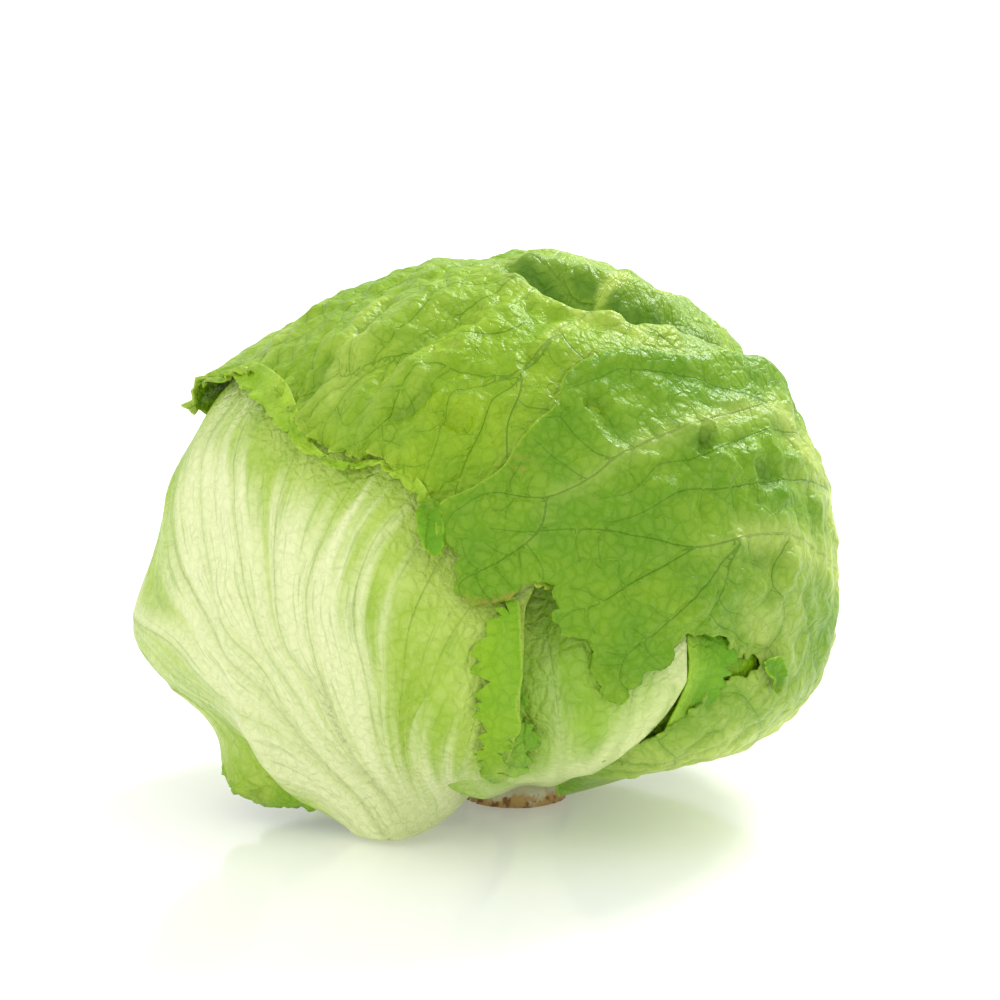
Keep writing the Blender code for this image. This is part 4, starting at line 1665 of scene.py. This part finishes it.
        ((34, 3), (33.5, -2), (32.5, -8), (30, -13.5), (27, -18), (22.5, -23.5), (20.5, -30),
         (24, -44), (32, -60), (44, -73), (20, -74.5), (6, -73.5), (-2, -58), (-8, -44), (-16, -35),
         (-26, -15), (-20, 2), (-4, 14), (12, 16), (26, 10)),
        (
            ((20, -73), (19, -50), (20, -25), (22, -8), (24, 6)),
            ((18, -66), (14, -45), (9, -20), (6, 4)),
            ((17, -66), (6, -45), (-4, -20), (-8, 6)),
            ((15, -66), (0, -48), (-14, -26), (-20, -6)),
            ((21, -66), (24, -46), (27, -22), (30, -8)),
        ),
        PALE, 53, spacing=0.9, thickness=0.0012, vein_stages=((16.0, 5.0),),
        edge=Edge(habit=Habit.SMOOTH, lift=0.6, frill=0.2, band=5.0),
        surface=Surface(crumple=0.4, pockets=0.2, quilt=0.25, ribs=0.2, details=(
            Fold(0.0020, 5, ((34, 3), (32.5, -8), (27, -18), (20, -27))),
            Swell(-2, -52, 26, 14, -0.0080), Swell(-14, -44, 12, 8, -0.0060),
        )),
        tint=Tint(pale_length=34.0, pale=(
            Fold(0.9, 7, ((34, 3), (32.5, -8), (27, -18), (20, -27), (14, -34))),
        )),
    ),
    LeafBlade(
        "leaf_right_low", (60, -22),
        ((15, -34), (18, -22), (24, -9), (29, 0), (38, 7), (50, 10), (66, 12), (84, 10), (98, -2),
         (102, -22), (96, -45), (86, -73), (65, -74.5), (36, -73.5), (22, -60), (15, -46)),
        (
            ((60, -73), (62, -50), (68, -25), (76, 0)),
            ((58, -66), (52, -45), (54, -25), (60, -6)),
            ((56, -66), (42, -48), (42, -30), (46, -10)),
            ((54, -66), (36, -50), (32, -30), (36, -6)),
            ((62, -66), (74, -45), (84, -20), (90, -4)),
        ),
        FOLDED, 59, spacing=1.3, surface=Surface(
            crumple=0.5, quilt=0.3, ribs=0.5, streaks=0.3, details=(
                Fold(0.0026, 6, ((48, -5), (40, -11), (32, -17), (25, -26), (20, -38))),)),
        tint=Tint(pale_length=30.0, pale=(Swell(38, -6, 6, 16, 0.5),)),
    ),
    LeafBlade(
        "leaf_left_low", (-78, -25),
        ((-54, -5), (-50, -28), (-48, -42), (-60, -38), (-72, -34), (-88, -34), (-106, -40),
         (-110, -25), (-106, 0), (-88, 14), (-62, 12)),
        (
            ((-76, -73), (-78, -50), (-80, -25), (-80, 4)),
            ((-74, -66), (-66, -45), (-62, -20), (-64, 0)),
            ((-80, -66), (-90, -45), (-96, -20), (-98, -4)),
        ),
        WRAPPER, 61, spacing=1.6,
    ),
)

TURNED_PARTS = (
    LeafBlade(
        "leaf_left", (-3, -10),
        ((-3, 10.5), (-6, 6), (-8, 2), (-8.5, -2), (-7.5, -5), (-8, -9), (-7, -13), (-8, -18),
         (-7.5, -24), (-5, -30), (-1.5, -27), (-1, -22), (0, -16), (1, -12), (0.3, -8), (1.2, -3),
         (1, 3), (0.5, 10)),
        (((-1, -24), (-1.5, -8), (-2, 8)),),
        FOLDED, 71, spacing=0.6, thickness=0.0006,
        edge=Edge(tooth=4.0, tooth_length=5.5, wander=0.2, lift=-0.2, frill=0.9, frill_length=6.0,
                  band=2.4, calm=((0.5, 10), (1, 3), (1.2, -3), (0.3, -8), (1, -12)),
                  calm_width=2.4),
        surface=Surface(crumple=0.3, pockets=0.3, quilt=0.2, ribs=0.0, details=(FOOT_HOLLOW,)),
        tint=Tint(pale_length=4.0, ribs=0.12), neck=-34.0, part="folded_edge",
        offset=2.8,
    ),
    LeafBlade(
        "leaf_left", (-68, -38),
        ((-54, -36), (-60, -33), (-68, -30), (-78, -24), (-82, -20), (-82, -23), (-78, -28), (-73.5, -32.5),
         (-69, -36.5), (-64.5, -39.5), (-60, -41), (-56, -41.5), (-53, -41)),
        (((-66, -34), (-68, -40), (-68, -45)), ((-60, -37), (-58, -43), (-57, -48)),
         ((-74, -30), (-77, -34), (-79, -38))),
        FOLDED, 75, spacing=0.8, neck=-70.0,
        edge=Edge(tooth=2.6, tooth_length=7.0, wander=0.2, lift=0.4, frill=1.4, frill_length=8.0,
                  band=4.0, calm=((-53, -41), (-54, -36), (-60, -33), (-68, -30), (-78, -24), (-84, -20)),
                  calm_width=3.0),
        surface=Surface(crumple=0.3, pockets=0.4, quilt=0.2, ribs=0.2, details=(
            Fold(-0.0036, 3.2, ((-52, -42), (-54, -36), (-60, -33), (-68, -30), (-78, -24), (-84, -20))),
        )),
        tint=Tint(pale_length=4.0, ribs=0.2, pale=(Swell(-70, -30, 20, 4, 0.3),)), part="flared_edge",
        offset=1.7,
    ),
    LeafBlade(
        "leaf_crown", (-50, 34),
        ((-88, 32), (-80, 36.5), (-64, 35.8), (-53.5, 33.2), (-43, 30.4), (-36, 29.6), (-29, 30.4),
         (-24, 29.4), (-19.5, 26), (-16.5, 26), (-18, 29.5), (-23, 32.5), (-29, 33), (-36, 32), (-43, 33),
         (-52, 38), (-62, 42), (-78, 42), (-86, 37)),
        (((-86, 34), (-66, 39), (-52, 35), (-36, 30.5), (-24, 31), (-18, 27)),),
        LIP_PAINTED_LIGHT, 83, spacing=0.7, thickness=0.0006,
        edge=Edge(habit=Habit.LOBED, tooth=2.4, tooth_length=9.0, wander=0.5, lift=1.6, frill=2.2,
                  frill_length=8.0, band=2.4, calm=((-17, 28), (-23, 32.5), (-29, 33), (-36, 32), (-43, 33),
                  (-52, 38), (-62, 42), (-78, 42), (-86, 37)), calm_width=1.6),
        surface=Surface(crumple=0.3, pockets=0.3, quilt=0.2, ribs=0.0),
        tint=Tint(pale_length=1.0, ribs=0.0), part="frilled_edge", offset=0.9,
    ),
    LeafBlade(
        "leaf_crown", (-18, 23),
        ((-18.8, 26), (-16.4, 27.4), (-14.2, 26), (-13.2, 22), (-13.2, 18.4), (-14.8, 17),
         (-17.2, 18.8), (-18.8, 22)),
        (((-16.5, 26), (-16, 22), (-15, 18)),),
        INNER, 77, spacing=0.5, thickness=0.0006,
        edge=Edge(tooth=0.7, tooth_length=4.0, wander=0.1, lift=1.4, frill=1.6, frill_length=8.0,
                  band=2.0),
        surface=Surface(crumple=0.3, pockets=0.3, quilt=0.2, ribs=0.0),
        tint=Tint(pale_length=1.0, ribs=0.0), part="rolled_tip", offset=3.2,
    ),
    LeafBlade(
        "leaf_right_low", (38, -7),
        ((34, 3), (38, 3.5), (42, 1), (43.5, -3), (42, -7), (40.5, -10), (38, -13), (34, -16),
         (31, -19), (29, -20), (30, -15), (32, -9), (33, -3)),
        (((31, -18), (36, -10), (38, -3), (38, 2)),),
        INNER, 79, spacing=0.6, thickness=0.0006,
        edge=Edge(tooth=2.4, tooth_length=5.0, wander=0.2, lift=0.8, frill=1.0, frill_length=7.0,
                  band=2.5, calm=((30, -18), (32, -9), (33, -3), (34, 3)), calm_width=2.0),
        surface=Surface(crumple=0.3, pockets=0.4, quilt=0.2, ribs=0.0),
        tint=Tint(pale_length=1.0, ribs=0.1, pale=(
            Fold(0.7, 3, ((30, -18), (32, -9), (33, -3), (34, 3))),
        )),
        part="turned_edge", offset=3.4,
    ),
    LeafBlade(
        "leaf_front_right", (51, -8),
        ((47.5, -5.5), (51, -4.8), (54, -6.5), (54.5, -10), (52.5, -12), (51, -9.5), (49, -7.5)),
        (((53, -11), (51, -7.5), (50, -5.5)),),
        INNER, 73, spacing=0.5, thickness=0.0006,
        edge=Edge(tooth=0.7, tooth_length=2.5, wander=0.1, lift=0.8, frill=0.8, frill_length=5.0,
                  band=1.6),
        surface=Surface(crumple=0.2, pockets=0.3, quilt=0.1, ribs=0.0),
        tint=Tint(pale_length=1.0, ribs=0.0), part="turned_tip", offset=1.1,
    ),
)


@dataclass(frozen=True)
class HeartLeaves:
    """The closed inner head that shows through the gaps between the outer leaves."""

    segments: int = 150
    rings: int = 90
    gap: float = 0.0022
    furrow: float = 0.0050
    foot_hollow: Swell = Swell(-8, -56, 34, 18, -0.0120)
    socket_angle: float = 20.0
    socket_roof: float = 0.047
    least_drop: float = 0.1
    crumple: float = 1.1
    furrow_width: float = 6.0
    folds: Wave = Wave(18.0)
    creases: Wave = Wave(7.0, 0.5)
    far_from_edge: float = 20.0
    far_from_vein: float = 9.0
    paleness: float = 0.3
    seed: int = 83

    def build(self, above: tuple[LeafBlade, ...]) -> bpy.types.Object:
        """Press a ball into the space inside the leaves.

        Args:
            above: The leaves round it.

        Returns:
            The finished object.
        """
        bpy.ops.object.select_all(action="DESELECT")
        bpy.ops.mesh.primitive_uv_sphere_add(segments=self.segments, ring_count=self.rings, radius=1.0)
        item = bpy.context.object
        item.name = "heart_leaves"
        dirs = unit(np.array([tuple(v.co) for v in item.data.vertices]))
        noise, space = Noise(self.seed), dirs * RADIUS_MM
        cover = sum(leaf.chart.cover(dirs) for leaf in above)
        creases = self.creases.share * np.abs(self.creases.at(noise, space))
        bumps = self.folds.at(noise, space) + creases
        reach = FORM.reach(dirs) - FORM.layer_pitch * cover - self.gap - self.crumple * MM * np.abs(bumps)
        reach -= self.furrow * np.exp(-(nearest_angle(dirs, course(FURROW)) / self.furrow_width) ** 2)
        reach += self.foot_hollow.at(dirs)
        down = -math.cos(math.radians(self.socket_angle))
        roof = (FORM.centre_height - self.socket_roof) / np.maximum(-dirs[:, 2], self.least_drop)
        reach = np.where(dirs[:, 2] < down, roof, reach)
        places = FORM.raised(dirs * reach[:, None])
        item.data.vertices.foreach_set("co", places.astype(np.float32).ravel())
        bearings = np.degrees(np.arctan2(dirs[:, 0], dirs[:, 1]))
        heights = np.degrees(np.arcsin(np.clip(dirs[:, 2], -1, 1))) + 90.0
        even = np.ones(len(dirs))
        carry(item.data, {
            "edge": self.far_from_edge * even, "ray": bearings, "along": heights,
            "vein_away": self.far_from_vein * even, "pale": self.paleness * even,
        })
        item.data.materials.append(leaf_material(PALE))
        bpy.ops.object.shade_smooth()
        place_piece(item, "heart")
        return item


@dataclass(frozen=True)
class CutStem:
    """The short stem with its dried cut end, which the head stands on."""

    radius: float = 0.0140
    height: float = 0.044
    sides: int = 120
    roughness: float = 0.55
    core: Colour = (0.90, 0.88, 0.74)
    bark: Colour = (0.80, 0.66, 0.40)
    scar: Colour = (0.58, 0.38, 0.18)
    rim_inset: float = 0.0012
    cuts: int = 10
    seed: int = 89
    wear_height: float = 0.006
    wear: float = 0.06
    chip: float = 0.0004
    blotches: Grain = Grain(260.0, 5.0, 0.34)
    cracks: Grain = Grain(620.0, 4.0, 0.35)
    brown_level: Pair = (0.0005, 0.0065)
    brown_band: Pair = (0.66, 0.86)
    dark_band: Pair = (0.80, 0.98)
    bump_depth: float = 0.0012
    bump_strength: float = 0.9
    sways: Waves = (Wave(6.0), Wave(2.0, 0.5))

    def build(self) -> bpy.types.Object:
        """Cut a cone level with the table and roughen its rim.

        Returns:
            The finished object.
        """
        bpy.ops.object.select_all(action="DESELECT")
        top = self.radius * (1.0 - self.height / FORM.centre_height)
        bpy.ops.mesh.primitive_cone_add(vertices=self.sides, radius1=self.radius, radius2=top,
                                        depth=self.height, location=(0, 0, self.height / 2))
        item = bpy.context.object
        item.name = "cut_stem"
        bpy.ops.object.transform_apply(location=True, rotation=False, scale=False)
        bpy.ops.object.mode_set(mode="EDIT")
        bpy.ops.mesh.select_all(action="SELECT")
        bpy.ops.mesh.inset(thickness=self.rim_inset)
        bpy.ops.mesh.subdivide(number_cuts=self.cuts)
        bpy.ops.object.mode_set(mode="OBJECT")
        self.roughen(item)
        item.data.materials.append(self.material())
        bpy.ops.object.shade_smooth()
        place_piece(item, "stem")
        return item

    def roughen(self, item: bpy.types.Object) -> None:
        """Pull the flank in and out unevenly, most of all near the floor.

        Args:
            item: The stem.
        """
        places = np.array([tuple(v.co) for v in item.data.vertices])
        noise = Noise(self.seed)
        low = np.exp(-places[:, 2] / self.wear_height)
        sway = sum(wave.share * wave.at(noise, places / MM) for wave in self.sways)
        places[:, :2] *= (1.0 + self.wear * sway * low)[:, None]
        places[:, 2] = np.maximum(places[:, 2] + self.chip * np.maximum(sway, 0) * low, 0.0)
        item.data.vertices.foreach_set("co", places.astype(np.float32).ravel())

    def material(self) -> bpy.types.Material:
        """Make cream flesh that browns and cracks towards the cut.

        Returns:
            The material.
        """
        material = bpy.data.materials.new("dried_stem")
        material.use_nodes = True
        graph = Graph(material.node_tree)
        shader = material.node_tree.nodes["Principled BSDF"]
        place = graph.node("TexCoord").outputs["Object"]
        level = graph.node("SeparateXYZ", {0: place}).outputs[2]
        blotch, crack = graph.noise(place, self.blotches), graph.noise(place, self.cracks)
        low = graph.fall(level, *self.brown_level)
        brown = graph.ramp(graph.math("MULTIPLY_ADD", low, self.blotches.share, blotch), *self.brown_band)
        tone = graph.mix(brown, linear(self.core), linear(self.bark))
        dark = graph.ramp(graph.math("MULTIPLY_ADD", low, self.cracks.share, crack), *self.dark_band)
        tone = graph.mix(dark, tone, linear(self.scar))
        bump = graph.node("Bump", {"Height": blotch, "Distance": self.bump_depth,
                                   "Strength": self.bump_strength})
        graph.tree.links.new(tone, shader.inputs["Base Color"])
        graph.tree.links.new(bump.outputs[0], shader.inputs["Normal"])
        shader.inputs["Roughness"].default_value = self.roughness
        return material


@dataclass(frozen=True)
class Lamp:
    """A square lamp that shines at the head: place and size in metres, power in watts."""

    name: str
    place: Place
    size: float
    power: float


@dataclass(frozen=True)
class Studio:
    """Table, light and camera."""

    elevation: float = 13.0
    distance: float = 1.0
    lens: float = 140.0
    sensor: float = 36.0
    target: Place = (-0.0039, 0.0, 0.0785)
    floor_radius: float = 3.0
    floor_roughness: float = 0.12
    floor_glow: float = 0.20
    lit_place: Place = (0.0, 0.0, 0.07)
    room_band: Pair = (-0.5, 0.35)
    room_light: Pair = (0.70, 0.31)
    lamps: tuple[Lamp, ...] = (
        Lamp("back_right_light", (0.50, 0.60, 0.80), 0.30, 9.0),
        Lamp("left_light", (-0.9, -0.7, 0.5), 0.8, 1.7),
        Lamp("top_light", (0.2, -0.5, 1.0), 0.8, 1.0),
    )

    def build(self) -> None:
        """Set up the table, the light and the camera."""
        self.lay_floor()
        self.light()
        self.place_camera()

    def lay_floor(self) -> None:
        """A pale, glossy round table top that glows a little."""
        bpy.ops.object.select_all(action="DESELECT")
        bpy.ops.mesh.primitive_circle_add(vertices=96, radius=self.floor_radius, fill_type="NGON")
        floor = bpy.context.object
        floor.name = "table_top"
        material = bpy.data.materials.new("pale_table")
        material.use_nodes = True
        shader = material.node_tree.nodes["Principled BSDF"]
        shader.inputs["Base Color"].default_value = (0.85, 0.85, 0.84, 1.0)
        shader.inputs["Roughness"].default_value = self.floor_roughness
        shader.inputs["Emission Color"].default_value = (1.0, 1.0, 0.98, 1.0)
        shader.inputs["Emission Strength"].default_value = self.floor_glow
        floor.data.materials.append(material)

    def light(self) -> None:
        """White surroundings with soft lights behind, above and to the right."""
        world = bpy.data.worlds.new("white_room")
        bpy.context.scene.world = world
        world.use_nodes = True
        graph = Graph(world.node_tree)
        view = graph.node("SeparateXYZ", {0: graph.node("TexCoord").outputs["Generated"]}).outputs
        bright = graph.ramp(graph.math("MAXIMUM", view[1], view[2]), *self.room_band)
        strength = graph.math("MULTIPLY_ADD", bright, *self.room_light)
        background = world.node_tree.nodes["Background"].inputs
        background["Color"].default_value = (1.0, 1.0, 1.0, 1.0)
        graph.tree.links.new(strength, background["Strength"])
        for lamp in self.lamps:
            light = bpy.data.lights.new(lamp.name, "AREA")
            light.size = lamp.size
            light.energy = lamp.power
            item = bpy.data.objects.new(lamp.name, light)
            item.location = lamp.place
            aim = Vector(self.lit_place) - Vector(lamp.place)
            item.rotation_euler = aim.to_track_quat("-Z", "Y").to_euler()
            bpy.context.scene.collection.objects.link(item)
        bpy.context.scene.view_settings.view_transform = "Standard"

    def place_camera(self) -> None:
        """Look along +Y from a little above."""
        tilt = math.radians(self.elevation)
        target = Vector(self.target)
        back = Vector((0.0, -math.cos(tilt), math.sin(tilt)))
        camera = bpy.data.cameras.new("camera")
        camera.lens = self.lens
        camera.sensor_width = self.sensor
        item = bpy.data.objects.new("camera", camera)
        item.location = target + back * self.distance
        item.rotation_euler = (-back).to_track_quat("-Z", "Y").to_euler()
        bpy.context.scene.collection.objects.link(item)
        bpy.context.scene.camera = item


def main() -> None:
    """Build the leaves from the outside in, then the heart, the stem and the studio."""
    logging.basicConfig(level=logging.INFO, format="%(message)s")
    nodes = [leaf.node for leaf in LEAVES]
    for leaf in LEAVES + TURNED_PARTS:
        leaf.build(LEAVES[:nodes.index(leaf.node)])
    HeartLeaves().build(LEAVES)
    CutStem().build()
    Studio().build()


if __name__ == "__main__":
    main()
